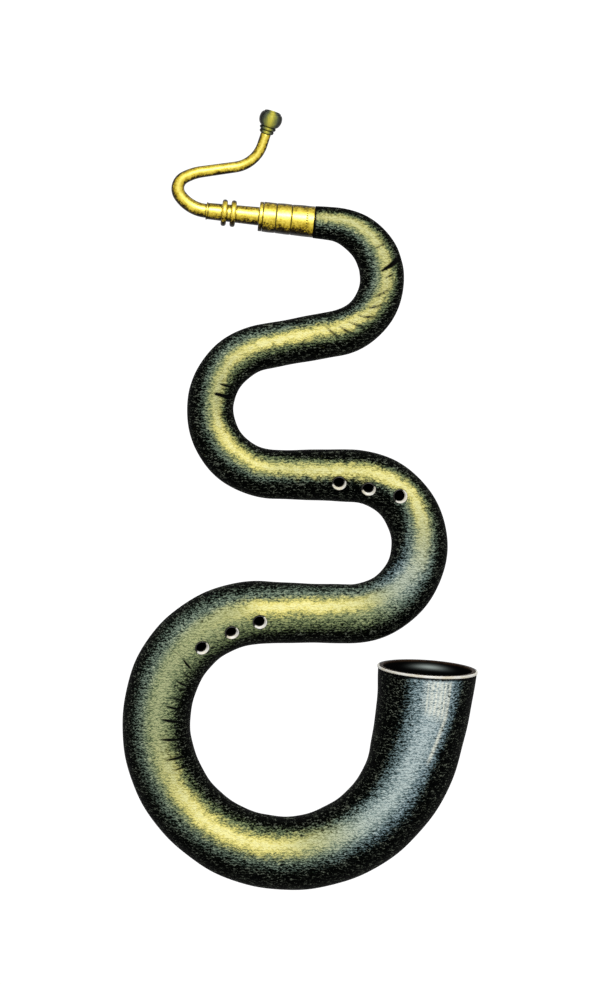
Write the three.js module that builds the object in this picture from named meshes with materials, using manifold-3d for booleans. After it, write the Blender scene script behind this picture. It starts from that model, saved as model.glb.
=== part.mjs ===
// A keyless serpent of the old French church type: a winding wooden horn under black leather.
// Two carved walnut halves meet on the plane Y = 0 and carry the whole bore, from the neck to the bell.
// Four leather sleeves cover them, six bone bushings line the finger holes, and a bone hoop binds the bell.
// A brass ferrule with a lined socket closes the neck. A bent brass crook with a turned horn mouthpiece
// plugs into it on a thread-lapped tenon: it turns there, and it draws out to the left.
//
// Millimetres and degrees, +Z up. The finger holes face -Y, and the bell opens upwards.
// The origin is where a padded display peg bears, under the neck just past the ferrule: the horn hangs there.

import * as THREE from "three";
import { mergeVertices } from "three/addons/utils/BufferGeometryUtils.js";
import Module from "manifold-3d";

const wasm = await Module();
wasm.setup();

// Fits
const clearance = 0.3; // between pieces that are glued, soldered or pushed together
const cutOverrun = 6; // how far a cutter runs past what it cuts

// Centre line of the wooden tube, from the socket's mouth to the bell.
// A positive sweep turns anticlockwise as seen from the finger holes' side.
const neckHeading = -6;
const neckRun = 88;
const neckBowRadius = 67;
const neckBowSweep = -163.5;
const upperRun = 89;
const upperBowRadius = 78;
const upperBowSweep = 168.5;
const middleRun = 92;
const middleBowRadius = 84;
const middleBowSweep = -180;
const lowerRun = 102;
const shoulderRadius = 124;
const shoulderSweep = 69;
const loopRadius = 157;
const loopSweep = 188.5;
const bellBowRadius = 645;
const bellBowSweep = 9.5;
const pegOffset = 78; // from the socket's mouth to the peg's seat

// Wooden tube and its leather
const throatDiameter = 38.5; // over the leather, where the ferrule ends
const bellDiameter = 119.5; // over the leather, at the bell's lip
const leatherThickness = 1.6;
const throatWall = 6.6; // walnut at the neck
const bellWall = 4.2; // walnut at the lip
// Along the leather, as a share of its length: how much of the growth from throat to bell is reached.
const growthShares = [
  [0, 0],
  [0.014, 0.035],
  [0.033, 0.11],
  [0.055, 0.17],
  [0.09, 0.188],
  [0.171, 0.2],
  [0.239, 0.225],
  [0.307, 0.26],
  [0.375, 0.315],
  [0.477, 0.385],
  [0.539, 0.42],
  [0.6, 0.495],
  [0.682, 0.54],
  [0.784, 0.59],
  [0.852, 0.665],
  [0.92, 0.8],
  [1, 1],
];
// The leather's cross seams, as shares of the whole centre line
const seamShares = [0.0925, 0.2476, 0.6398];

// Finger holes: where each lies along the centre line, how far it leans off the front, and which way its
// bushing is thick and hollowed for the fingertip, as seen from the front and anticlockwise from +X
const fingerHoleShares = [0.3694, 0.3899, 0.4106, 0.5802, 0.6011, 0.6252];
const fingerHoleLeanAngles = [-7, -13.5, 7, 8, 18.5, 15.5];
const fingerHoleHollowAngles = [-75, -72, -35, -45, -45, -45];
const bushingDiameter = 17.2;
const bushingBore = 12.4;
const bushingBoreOffset = 1.6; // from the bushing's axis to its bore's
const bushingRim = 1; // left round the hollow
const bushingHollowDepth = 3.4;
const bushingProud = 0.4;

// Bell hoop
const hoopHeight = 3.2;
const hoopProud = 0.7;

// Neck ferrule, its cap and the socket's lining
const ferruleLength = 66;
const ferruleMouthDiameter = 35.6;
const ferruleSkirtDiameter = 37.6;
const ferruleWall = 1.2;
const ferruleBandShares = [0.31, 0.59, 0.87]; // engraved lines, as shares of the ferrule's length
const engravedWidth = 1.4;
const engravedDepth = 0.5;
const capWidth = 4.5;
const capRound = 1.2;
const linerDiameter = 20.4;
const linerWall = 1;
const linerLength = 50;

// Crook: its straight sleeve and tenon
const sleeveLength = 63.5;
const sleeveLargeDiameter = 22.2;
const sleeveSmallDiameter = 19.8;
const sleeveBeadHeight = 0.6;
const sleeveBeadWidth = 1.8;
const tenonLength = 40;
const tenonDiameter = 15.6;
const tenonWall = 1;
const tubeSeatDepth = 14; // how far the bent tube is soldered into the sleeve
const collarDiameter = 32.2;
const collarWidth = 6.4;
const collarRound = 2;
const collarOffsets = [31, 41.8]; // from the socket's face to each collar's middle
const lappingStart = 4;
const lappingLength = 32;
const lappingTurns = 7;
const threadThickness = 0.65;

// Crook: the bent tube
const heelRadius = 43;
const heelSweep = -50;
const crookBowRadius = 15;
const crookBowSweep = -95;
const easingRadius = 61;
const easingSweep = -21;
const crookRun = 40.4;
const riserRadius = 40;
const riserSweep = 64;
const crookTipRun = 14;
const crookLargeDiameter = 17;
const crookSmallDiameter = 12.4;
const crookWall = 1;
const crookTaperShares = [
  [0, 0],
  [0.2, 0.1],
  [0.4, 0.45],
  [0.5, 0.62],
  [0.75, 0.8],
  [1, 1],
];

// Mouthpiece
const cupDiameter = 27.6;
const cupRimDiameter = 20.8;
const cupHeight = 18.4;
const cupWaist = 0.52; // where the cup is widest, as a share of its height
const cupBore = 15.8;
const cupDepth = 13;
const rimRound = 1.8;
const throatBore = 6;
const cupFootDiameter = 16;
const beadDiameters = [17.4, 20];
const beadHeights = [4.6, 4.2];
const beadGrooves = [12.8, 14.6]; // diameters of the grooves the beads stand between
const shankLength = 15;
const shankDiameter = 8.2;
const shankWrapStart = 2;
const shankWrapLength = 10;
const shankWrapTurns = 4;
const shankWrapThickness = 0.6;

// Facets
const tubeSides = 16;
const boreSides = 10;
const crookSides = 12;
const turnedSides = 20;
const smallTurnedSides = 12;
const fingerHoleSides = 10;
const coarseSectionAngle = 20; // degrees of a bow from one section to the next
const fineSectionAngle = 13; // the same, in the wide bows near the bell
const bellSections = 4;
const cupSteps = 3;
const roundSteps = 4;

const toRadians = THREE.MathUtils.degToRad;
const leather = { color: 0x1c2019, roughness: 0.45, metalness: 0 };
const walnut = { color: 0x4a3020, roughness: 0.6, metalness: 0 };
const bone = { color: 0xe8e0c8, roughness: 0.4, metalness: 0 };
const brass = { color: 0xd9a92e, roughness: 0.28, metalness: 1 };
const horn = { color: 0x6e6a3a, roughness: 0.35, metalness: 0 };
const thread = { color: 0xb8a888, roughness: 0.9, metalness: 0 };

// A line in the plane Y = 0, made of straight runs and bows that follow each other without a corner.
class BentLine {
  constructor(x, z, heading, pieces) {
    this.starts = [];
    this.length = 0;
    let at = { x, z, heading: toRadians(heading), s: 0 };
    for (const piece of pieces) {
      const sweep = toRadians(piece.sweep ?? 0);
      const length = piece.sweep ? piece.radius * Math.abs(sweep) : piece.run;
      this.starts.push({ ...at, turn: sweep / length, length, sections: piece.sections });
      this.length += length;
      at = this.at(this.length);
    }
  }

  // The point and the heading at a distance along the line. Past an end it runs straight on.
  at(s) {
    const last = this.starts.length - 1;
    const k = this.starts.findIndex((p, i) => i === last || s < p.s + p.length);
    const p = this.starts[k];
    const d = Math.min(Math.max(s - p.s, 0), p.length);
    const over = s - p.s - d;
    const heading = p.heading + p.turn * d;
    const chord = p.turn ? (2 / p.turn) * Math.sin((p.turn * d) / 2) : d;
    const middle = (p.heading + heading) / 2;
    return {
      s,
      heading,
      x: p.x + chord * Math.cos(middle) + over * Math.cos(heading),
      z: p.z + chord * Math.sin(middle) + over * Math.sin(heading),
    };
  }

  // Distances of the sections between two places: the ends of every run and bow, and the steps inside each.
  sections(from, to, extra) {
    const found = [from, to, ...extra];
    for (const p of this.starts) {
      for (let i = 0; i <= p.sections; i += 1) found.push(p.s + (p.length * i) / p.sections);
    }
    const kept = found.filter((s) => s >= from && s <= to).sort((a, b) => a - b);
    return kept.filter((s, i) => i === 0 || s - kept[i - 1] > clearance / 2);
  }
}

const run = (length) => ({ run: length, sections: 1 });
const bow = (radius, sweep, angle) => ({ radius, sweep, sections: Math.ceil(Math.abs(sweep) / angle) });

// Reads a table of [share, value] rows with smooth slopes between the rows.
function readShares(table, share) {
  const last = table.length - 2;
  const found = table.findIndex((row, i) => i > last || share < table[i + 1][0]);
  const i = Math.min(found, last);
  const slope = (k) => {
    const before = table[Math.max(k - 1, 0)];
    const after = table[Math.min(k + 1, last + 1)];
    return (after[1] - before[1]) / (after[0] - before[0]);
  };
  const width = table[i + 1][0] - table[i][0];
  const u = Math.min((share - table[i][0]) / width, 1);
  const [a, b] = [table[i][1], table[i + 1][1]];
  return (
    a * (1 + 2 * u) * (1 - u) ** 2 +
    b * u ** 2 * (3 - 2 * u) +
    width * u * (1 - u) * (slope(i) * (1 - u) - slope(i + 1) * u)
  );
}

// The body's centre line, from the socket's mouth to the bell.
const bodyPieces = [
  run(neckRun),
  bow(neckBowRadius, neckBowSweep, coarseSectionAngle),
  run(upperRun),
  bow(upperBowRadius, upperBowSweep, coarseSectionAngle),
  run(middleRun),
  bow(middleBowRadius, middleBowSweep, coarseSectionAngle),
  run(lowerRun),
  bow(shoulderRadius, shoulderSweep, fineSectionAngle),
  bow(loopRadius, loopSweep, fineSectionAngle),
  { radius: bellBowRadius, sweep: bellBowSweep, sections: bellSections },
];
const unplaced = new BentLine(0, 0, neckHeading, bodyPieces);

const leatherStart = ferruleLength + clearance;
const leatherEnd = unplaced.length - hoopHeight - clearance;

// Outer radius of the leather at a distance along the centre line.
function leatherRadius(s) {
  const share = Math.max((s - ferruleLength) / (unplaced.length - ferruleLength), 0);
  return (throatDiameter + (bellDiameter - throatDiameter) * readShares(growthShares, share)) / 2;
}

// Outer radius of the walnut: the ferrule's cone first, then the leather's seat. Each half stands off the
// joint by half a clearance, so under the ferrule the walnut keeps that much more from its flats.
function woodRadius(s) {
  if (s > ferruleLength) return leatherRadius(s) - leatherThickness - clearance;
  const flats = (ferruleRadius(s) - ferruleWall) * Math.cos(Math.PI / turnedSides);
  return flats - clearance - clearance / 2;
}

function ferruleRadius(s) {
  return THREE.MathUtils.lerp(ferruleMouthDiameter, ferruleSkirtDiameter, s / ferruleLength) / 2;
}

// Radius of the bore in the walnut.
function boreRadius(s) {
  const share = Math.max((s - ferruleLength) / (unplaced.length - ferruleLength), 0);
  const wall = THREE.MathUtils.lerp(throatWall, bellWall, share);
  const atThroat = (linerDiameter / 2 + clearance) / Math.cos(Math.PI / boreSides);
  return s > ferruleLength ? Math.max(woodRadius(s) - wall, atThroat) : atThroat;
}

// Moved so that the peg's seat lies at the origin.
const seat = unplaced.at(pegOffset);
const seatX = seat.x + leatherRadius(pegOffset) * Math.sin(seat.heading);
const seatZ = seat.z - leatherRadius(pegOffset) * Math.cos(seat.heading);
const line = new BentLine(-seatX, -seatZ, neckHeading, bodyPieces);
const seams = seamShares.map((share) => share * line.length);
const seamEnds = seams.flatMap((s) => [s - clearance / 2, s + clearance / 2]);
const woodStart = capWidth + clearance;
const bodySections = line.sections(woodStart, line.length, [
  ferruleLength,
  leatherStart,
  leatherEnd,
  leatherEnd + clearance,
  ...seamEnds,
]);

// A point of a section: its angle starts on the in-plane normal and turns towards +Y.
function sectionPoint(at, radius, angle, shift) {
  const inPlane = radius * Math.cos(angle);
  return [
    at.x - inPlane * Math.sin(at.heading),
    radius * Math.sin(angle) + shift,
    at.z + inPlane * Math.cos(at.heading),
  ];
}

// A closed geometry from points and triangles.
function closedGeometry(points, triangles) {
  const geometry = new THREE.BufferGeometry();
  geometry.setAttribute("position", new THREE.Float32BufferAttribute(points.flat(), 3));
  geometry.setIndex(triangles.flat());
  return geometry;
}

// Joins like sections into one closed body. Each section is a list of [radius, angle] points going round
// once, holes included as a second loop, and shift moves the whole section along Y.
function loft(path, distances, loopsAt, shift = 0) {
  const points = [];
  const triangles = [];
  const ends = [];
  let perSection = 0;
  distances.forEach((s, k) => {
    const at = path.at(s);
    const loops = loopsAt(s);
    if (k === 0 || k === distances.length - 1) {
      const flat = loops.map((loop) => loop.map(([r, a]) => new THREE.Vector2(r * Math.cos(a), r * Math.sin(a))));
      ends.push(THREE.ShapeUtils.triangulateShape(flat[0], flat.slice(1)));
    }
    for (const loop of loops) for (const [r, a] of loop) points.push(sectionPoint(at, r, a, shift));
    perSection = loops.reduce((sum, loop) => sum + loop.length, 0);
    if (k === 0) return;
    let first = 0;
    for (const loop of loops) {
      for (let i = 0; i < loop.length; i += 1) {
        const j = (i + 1) % loop.length;
        const [a, b] = [first + i, first + j].map((v) => v + k * perSection);
        const [c, d] = [a - perSection, b - perSection];
        triangles.push([a, d, c], [a, b, d]);
      }
      first += loop.length;
    }
  });
  const lastSection = (distances.length - 1) * perSection;
  for (const [a, b, c] of ends[0]) triangles.push([a, b, c]);
  for (const [a, b, c] of ends[1]) triangles.push([a + lastSection, c + lastSection, b + lastSection]);
  return closedGeometry(points, triangles);
}

// Angles of an arc in equal steps, both ends included.
function arcAngles(from, to, steps) {
  return Array.from({ length: steps + 1 }, (_, i) => from + ((to - from) * i) / steps);
}

// The two loops of a hollow round section.
function hollowLoops(outer, inner, sides) {
  const angles = arcAngles(0, 2 * Math.PI, sides).slice(0, sides);
  const inside = angles.map((a) => [inner, a]).reverse();
  return [angles.map((a) => [outer, a]), inside];
}

// The single loop of a half shell: round the outside, and back along the bore.
function halfLoop(outer, inner, from) {
  const out = arcAngles(from, from + Math.PI, tubeSides / 2).map((a) => [outer, a]);
  const back = arcAngles(from + Math.PI, from, boreSides / 2).map((a) => [inner, a]);
  return [[...out, ...back]];
}

// A closed mesh as a solid that can be cut, and back again.
function solidOf(geometry) {
  const bare = geometry.clone();
  bare.deleteAttribute("normal");
  bare.deleteAttribute("uv");
  const merged = mergeVertices(bare);
  return new wasm.Manifold(
    new wasm.Mesh({
      numProp: 3,
      vertProperties: merged.attributes.position.array,
      triVerts: new Uint32Array(merged.index.array),
    }),
  );
}

function geometryOf(solid) {
  const mesh = solid.getMesh();
  const made = new THREE.BufferGeometry();
  made.setAttribute("position", new THREE.BufferAttribute(mesh.vertProperties, 3));
  made.setIndex(new THREE.BufferAttribute(mesh.triVerts, 1));
  return made;
}

function cutAway(geometry, cutters) {
  return geometryOf(cutters.reduce((solid, cutter) => solid.subtract(solidOf(cutter)), solidOf(geometry)));
}

// A turned piece from a closed outline of [radius, distance] points, standing on +Y as a lathe leaves it.
function turned(outline, sides) {
  const points = [...outline, outline[0]].map(([r, y]) => new THREE.Vector2(r, y));
  const area = THREE.ShapeUtils.area(points.slice(1));
  return new THREE.LatheGeometry(area < 0 ? points.reverse() : points, sides);
}

// Half of an ellipse as outline points, bulging outwards from a radius, between two distances.
function bulge(radius, rise, from, to, steps) {
  return arcAngles(0, Math.PI, steps).map((a) => [
    radius + rise * Math.sin(a),
    (from + to) / 2 - ((to - from) / 2) * Math.cos(a),
  ]);
}

// Turns a lathe's axis into a line's own direction at one place, with distance zero at that place.
function placeOn(path, s) {
  const at = path.at(s);
  const matrix = new THREE.Matrix4().makeBasis(
    new THREE.Vector3(Math.sin(at.heading), 0, -Math.cos(at.heading)),
    new THREE.Vector3(Math.cos(at.heading), 0, Math.sin(at.heading)),
    new THREE.Vector3(0, -1, 0),
  );
  return matrix.setPosition(at.x, 0, at.z);
}

const serpent = new THREE.Group();
const crook = new THREE.Group();
const mouthpiece = new THREE.Group();
crook.add(mouthpiece);
serpent.add(crook);

function addPiece(group, name, geometry, material, matrix) {
  const mesh = new THREE.Mesh(geometry, new THREE.MeshStandardMaterial(material));
  mesh.name = name;
  if (matrix) {
    mesh.position.setFromMatrixPosition(matrix);
    mesh.quaternion.setFromRotationMatrix(matrix);
  }
  group.add(mesh);
}

// A finger hole's bore as a matrix whose Y axis points out of the hole, from the centre line.
function fingerHolePlace(index) {
  const at = line.at(fingerHoleShares[index] * line.length);
  const lean = toRadians(fingerHoleLeanAngles[index]);
  const normal = new THREE.Vector3(-Math.sin(at.heading), 0, Math.cos(at.heading));
  const out = new THREE.Vector3(0, -Math.cos(lean), 0).addScaledVector(normal, Math.sin(lean));
  const along = new THREE.Vector3(Math.cos(at.heading), 0, Math.sin(at.heading));
  const matrix = new THREE.Matrix4().makeBasis(along, out, new THREE.Vector3().crossVectors(along, out));
  return matrix.setPosition(at.x, 0, at.z);
}

const fingerHoles = fingerHoleShares.map((share, index) => {
  const s = share * line.length;
  const place = fingerHolePlace(index);
  const angle = toRadians(fingerHoleHollowAngles[index]);
  const hollow = new THREE.Vector3(Math.cos(angle), 0, Math.sin(angle)).transformDirection(place.clone().invert());
  return { s, place, hollow, inner: boreRadius(s), outer: leatherRadius(s) };
});

// A round bar along a hole, from one distance out of the centre line to another. Its radius may change from
// end to end, and its axis stands off the bore's by an offset at each end, to the side of the hollow.
function fingerHoleBar({ place, hollow }, [from, to], [radiusFrom, radiusTo], [offsetFrom, offsetTo]) {
  const height = to - from;
  const bar = new THREE.CylinderGeometry(radiusTo, radiusFrom, height, fingerHoleSides).translate(0, height / 2, 0);
  const lean = (offsetTo - offsetFrom) / height;
  bar.applyMatrix4(new THREE.Matrix4().makeShear(0, 0, lean * hollow.x, lean * hollow.z, 0, 0));
  bar.translate(offsetFrom * hollow.x, from, offsetFrom * hollow.z);
  return bar.applyMatrix4(place);
}

// What the wood and the leather lose to a bushing.
function fingerHoleCutter(hole) {
  const radius = bushingDiameter / 2 + clearance;
  const offsets = [bushingBoreOffset, bushingBoreOffset];
  return fingerHoleBar(hole, [0, hole.outer + cutOverrun], [radius, radius], offsets);
}

function addWood() {
  const cutters = fingerHoles.map(fingerHoleCutter);
  const front = loft(line, bodySections, (s) => halfLoop(woodRadius(s), boreRadius(s), Math.PI), -clearance / 2);
  const back = loft(line, bodySections, (s) => halfLoop(woodRadius(s), boreRadius(s), 0), clearance / 2);
  addPiece(serpent, "body_half_front", cutAway(front, cutters), walnut);
  addPiece(serpent, "body_half_back", back, walnut);
}

function addLeather() {
  const names = ["leather_neck", "leather_upper", "leather_middle", "leather_bell"];
  const edges = [leatherStart, ...seamEnds, leatherEnd];
  names.forEach((name, i) => {
    const [from, to] = [edges[2 * i], edges[2 * i + 1]];
    const distances = bodySections.filter((s) => s >= from && s <= to);
    const sleeve = loft(line, distances, (s) =>
      hollowLoops(leatherRadius(s), leatherRadius(s) - leatherThickness, tubeSides),
    );
    const holes = fingerHoles.filter(({ s }) => s > from && s < to);
    addPiece(serpent, name, cutAway(sleeve, holes.map(fingerHoleCutter)), leather);
  });
}

// A bushing follows the leather's round at its mouth. Its bore lies off its middle, and the thick side is
// hollowed for the fingertip, down to the bore's edge.
function bushingGeometry(hole) {
  const [radius, bore] = [bushingDiameter / 2, bushingBore / 2];
  const beyond = hole.outer + cutOverrun;
  const body = fingerHoleBar(hole, [hole.inner, beyond], [radius, radius], [bushingBoreOffset, bushingBoreOffset]);
  const round = hole.outer + bushingProud;
  const crown = new THREE.CylinderGeometry(round, round, 2 * bushingDiameter, tubeSides);
  crown.applyMatrix4(placeOn(line, hole.s));
  const shaped = geometryOf(solidOf(body).intersect(solidOf(crown)));
  const boreCutter = fingerHoleBar(hole, [0, beyond], [bore, bore], [0, 0]);
  const foot = round - bushingHollowDepth;
  const reach = (beyond - foot) / bushingHollowDepth;
  const [footRadius, mouthRadius] = [bore - clearance, radius - bushingRim];
  const hollowCutter = fingerHoleBar(
    hole,
    [foot, beyond],
    [footRadius, footRadius + (mouthRadius - footRadius) * reach],
    [0, bushingBoreOffset * reach],
  );
  return cutAway(shaped, [boreCutter, hollowCutter]);
}

function addBushings() {
  fingerHoles.forEach((hole, index) => {
    addPiece(serpent, `finger_bushing_${index + 1}`, bushingGeometry(hole), bone);
  });
}

function addBellHoop() {
  const distances = [leatherEnd + clearance, line.length];
  const hoop = loft(line, distances, (s) =>
    hollowLoops(leatherRadius(s) + hoopProud, woodRadius(s) + clearance, tubeSides),
  );
  addPiece(serpent, "bell_hoop", hoop, bone);
}

function addSocket() {
  const mouth = placeOn(line, 0);
  const start = capWidth + clearance;
  const outer = [];
  for (const share of ferruleBandShares) {
    const s = share * ferruleLength;
    outer.push(
      [ferruleRadius(s - engravedWidth / 2), s - engravedWidth / 2],
      [ferruleRadius(s) - engravedDepth, s],
      [ferruleRadius(s + engravedWidth / 2), s + engravedWidth / 2],
    );
  }
  const ferrule = [
    [ferruleRadius(start), start],
    ...outer,
    [ferruleRadius(ferruleLength), ferruleLength],
    [ferruleRadius(ferruleLength) - ferruleWall, ferruleLength],
    [ferruleRadius(start) - ferruleWall, start],
  ];
  addPiece(serpent, "neck_ferrule", turned(ferrule, turnedSides), brass, mouth);

  const capRadius = ferruleMouthDiameter / 2;
  const linerSeat = linerDiameter / 2 + clearance;
  const cap = [
    [linerSeat, 0],
    ...bulge(capRadius - capRound, capRound, 0, capWidth, roundSteps),
    [linerSeat, capWidth],
  ];
  addPiece(serpent, "ferrule_cap", turned(cap, turnedSides), brass, mouth);

  const linerRadius = linerDiameter / 2;
  const liner = [
    [linerRadius, 0],
    [linerRadius, linerLength],
    [linerRadius - linerWall, linerLength],
    [linerRadius - linerWall, 0],
  ];
  addPiece(serpent, "socket_liner", turned(liner, turnedSides), brass, mouth);
}

function sleeveRadius(distance) {
  return THREE.MathUtils.lerp(sleeveLargeDiameter, sleeveSmallDiameter, distance / sleeveLength) / 2;
}

// The sleeve is turned on the neck's own axis: distances run from the socket's face, negative outside it.
function addSleeve() {
  const mouth = placeOn(line, 0);
  const tenon = tenonDiameter / 2;
  const seat = crookLargeDiameter / 2 + clearance;
  const bead = bulge(sleeveRadius(sleeveLength), sleeveBeadHeight, -sleeveLength + sleeveBeadWidth, -sleeveLength, roundSteps);
  const sleeve = [
    [tenon, tenonLength],
    [tenon, -clearance],
    [sleeveRadius(0), -clearance],
    ...bead,
    [seat, -sleeveLength],
    [seat, -sleeveLength + tubeSeatDepth],
    [tenon - tenonWall, -sleeveLength + tubeSeatDepth],
    [tenon - tenonWall, tenonLength],
  ];
  addPiece(crook, "crook_sleeve", turned(sleeve, turnedSides), brass, mouth);

  collarOffsets.forEach((offset, i) => {
    const [from, to] = [-offset - collarWidth / 2, -offset + collarWidth / 2];
    const inner = sleeveRadius(offset - collarWidth / 2) + clearance;
    const collar = [
      [inner, from],
      ...bulge(collarDiameter / 2 - collarRound, collarRound, from, to, roundSteps),
      [inner, to],
    ];
    addPiece(crook, `crook_collar_${i + 1}`, turned(collar, turnedSides), brass, mouth);
  });
}

// Thread wound round a spigot: one low rib for each turn, over a smooth inner face.
function lappingOutline(inner, thickness, from, length, turns) {
  const pitch = length / turns;
  const ribs = Array.from({ length: turns }, (_, i) => [
    [inner + thickness / 2, from + pitch * i],
    [inner + thickness, from + pitch * (i + 1 / 2)],
  ]);
  return [[inner, from], ...ribs.flat(), [inner + thickness / 2, from + length], [inner, from + length]];
}

function addTenonLapping() {
  const outline = lappingOutline(
    tenonDiameter / 2 + clearance,
    threadThickness,
    lappingStart,
    lappingLength,
    lappingTurns,
  );
  addPiece(crook, "tenon_lapping", turned(outline, smallTurnedSides), thread, placeOn(line, 0));
}

// The bent tube's centre line starts at its seat in the sleeve and runs away from the socket.
const tubeStart = line.at(-sleeveLength + tubeSeatDepth - clearance);
const crookLine = new BentLine(tubeStart.x, tubeStart.z, neckHeading + 180, [
  run(tubeSeatDepth),
  bow(heelRadius, heelSweep, coarseSectionAngle),
  bow(crookBowRadius, crookBowSweep, coarseSectionAngle),
  bow(easingRadius, easingSweep, coarseSectionAngle),
  run(crookRun),
  bow(riserRadius, riserSweep, coarseSectionAngle),
  run(crookTipRun),
]);

function crookRadius(s) {
  const taper = readShares(crookTaperShares, s / crookLine.length);
  return THREE.MathUtils.lerp(crookLargeDiameter, crookSmallDiameter, taper) / 2;
}

function addCrookTube() {
  const tube = loft(crookLine, crookLine.sections(0, crookLine.length, []), (s) =>
    hollowLoops(crookRadius(s), crookRadius(s) - crookWall, crookSides),
  );
  addPiece(crook, "crook_tube", tube, brass);
}

// The mouthpiece is turned on the crook's tip: the shank goes down into it and the cup stands above it.
function addMouthpiece() {
  const tip = placeOn(crookLine, crookLine.length);
  const [shank, throat] = [shankDiameter / 2, throatBore / 2];
  const beads = beadDiameters.map((diameter, i) => {
    const from = clearance + beadHeights.slice(0, i).reduce((sum, h) => sum + h, 0);
    const groove = beadGrooves[i] / 2;
    return bulge(groove, diameter / 2 - groove, from, from + beadHeights[i], roundSteps);
  });
  const cupBase = clearance + beadHeights.reduce((sum, h) => sum + h, 0);
  const rimTop = cupBase + cupHeight;
  const waist = cupBase + cupHeight * cupWaist;
  const [foot, widest, rimOuter] = [cupFootDiameter / 2, cupDiameter / 2, cupRimDiameter / 2];
  const below = arcAngles(0, Math.PI / 2, cupSteps).map((a) => [
    foot + (widest - foot) * Math.sin(a),
    cupBase + (waist - cupBase) * (1 - Math.cos(a)),
  ]);
  const above = arcAngles(0, Math.PI / 2, cupSteps).map((a) => [
    rimOuter + (widest - rimOuter) * Math.cos(a),
    waist + (rimTop - rimRound - waist) * Math.sin(a),
  ]);
  const rimInner = cupBore / 2;
  const rim = arcAngles(0, Math.PI, cupSteps).map((a) => [
    rimInner + ((rimOuter - rimInner) * (1 + Math.cos(a))) / 2,
    rimTop - rimRound + rimRound * Math.sin(a),
  ]);
  const inside = arcAngles(0, Math.PI / 2, cupSteps).map((a) => [
    throat + (rimInner - throat) * Math.cos(a),
    rimTop - rimRound - (cupDepth - rimRound) * Math.sin(a),
  ]);
  const outline = [
    [shank, -shankLength],
    [shank, clearance],
    ...beads.flat(),
    ...below,
    ...above.slice(1),
    ...rim.slice(1),
    ...inside.slice(1),
    [throat, -shankLength],
  ];
  addPiece(mouthpiece, "mouthpiece", turned(outline, turnedSides), horn, tip);

  const wrap = lappingOutline(
    shank + clearance,
    shankWrapThickness,
    -shankWrapStart - shankWrapLength,
    shankWrapLength,
    shankWrapTurns,
  );
  addPiece(mouthpiece, "mouthpiece_wrap", turned(wrap, smallTurnedSides), thread, tip);
}

addWood();
addLeather();
addBushings();
addBellHoop();
addSocket();
addSleeve();
addTenonLapping();
addCrookTube();
addMouthpiece();

export default serpent;
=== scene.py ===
"""Finish and setting of a keyless serpent bass horn under black leather, with bone, brass and horn fittings.

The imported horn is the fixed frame. Each of its plain faceted pieces is replaced by a fine surface in the same
place: a closed profile of distances and radii is carried round the horn's own bent line, as whole numpy
arrays. Sizes are millimetres in the horn's frame and become metres when a mesh is made. Angles round the line
start on its in-plane normal and turn towards the back (+Y), so the front (-Y) is at -90 degrees.
"""

import logging
from dataclasses import dataclass, field, replace
from enum import Enum
from typing import Sequence

import bpy
import numpy as np
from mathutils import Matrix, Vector


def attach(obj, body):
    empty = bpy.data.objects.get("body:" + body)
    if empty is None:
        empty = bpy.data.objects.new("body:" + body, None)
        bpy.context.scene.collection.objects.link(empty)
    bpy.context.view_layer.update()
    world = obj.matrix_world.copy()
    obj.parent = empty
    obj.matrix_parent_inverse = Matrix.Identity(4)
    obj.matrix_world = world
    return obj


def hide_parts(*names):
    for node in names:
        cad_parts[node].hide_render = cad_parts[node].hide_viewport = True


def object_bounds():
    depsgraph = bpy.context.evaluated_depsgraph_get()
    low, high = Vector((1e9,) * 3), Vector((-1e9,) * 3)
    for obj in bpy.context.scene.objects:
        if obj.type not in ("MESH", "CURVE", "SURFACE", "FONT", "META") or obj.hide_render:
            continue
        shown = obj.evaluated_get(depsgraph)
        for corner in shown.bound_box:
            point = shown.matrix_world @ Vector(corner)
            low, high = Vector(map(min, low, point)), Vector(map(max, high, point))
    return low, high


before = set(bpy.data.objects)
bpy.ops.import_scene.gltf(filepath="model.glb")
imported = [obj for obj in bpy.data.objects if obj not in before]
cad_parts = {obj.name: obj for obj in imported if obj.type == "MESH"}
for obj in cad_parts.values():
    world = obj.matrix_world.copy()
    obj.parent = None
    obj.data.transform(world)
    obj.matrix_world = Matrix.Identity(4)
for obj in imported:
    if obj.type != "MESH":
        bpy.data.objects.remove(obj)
cad_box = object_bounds()

Array = np.ndarray
Colour = tuple[float, float, float]
Shares = tuple[tuple[float, float], ...]
Material = bpy.types.Material
Mesh = bpy.types.Mesh
Socket = bpy.types.NodeSocket

log = logging.getLogger("serpent")
MM = 0.001  # one millimetre, in Blender's metres
CLEARANCE = 0.3  # between pieces that are glued, soldered or pushed together
FRONT, BACK = -np.pi / 2, np.pi / 2
SHARP_EDGE = 38.0  # edges that turn more than this many degrees stay sharp
# Painted light on brass and horn: how far its band leans up on level stretches and right on upright ones, in
# degrees
LIGHT_LEAN_UP, LIGHT_LEAN_RIGHT = 22.0, 8.0
EVEN, STILL = (1.0, 1.0, 1.0), (0.0, 0.0, 0.0)  # no stretch, or white, and no turn


class Body(Enum):
    """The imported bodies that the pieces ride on."""

    HORN = "serpent_body"
    TENON_THREAD = "tenon_thread"
    CROOK = "crook"
    SHANK_THREAD = "shank_thread"
    MOUTHPIECE = "mouthpiece"


class Slot(Enum):
    """The record's material slots."""

    LEATHER = "leather"
    WALNUT = "walnut"
    BONE = "bone"
    BRASS = "brass"
    HORN = "horn"
    THREAD = "thread"


@dataclass(frozen=True)
class Stretch:
    """One run or bow of a bent line: its length, and its sweep in degrees."""

    length: float
    sweep: float = 0.0


def run(length: float) -> Stretch:
    """A straight stretch."""
    return Stretch(length)


def bow(radius: float, sweep: float) -> Stretch:
    """A round stretch. A positive sweep turns anticlockwise as seen from the front."""
    return Stretch(radius * abs(np.radians(sweep)), sweep)


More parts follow.
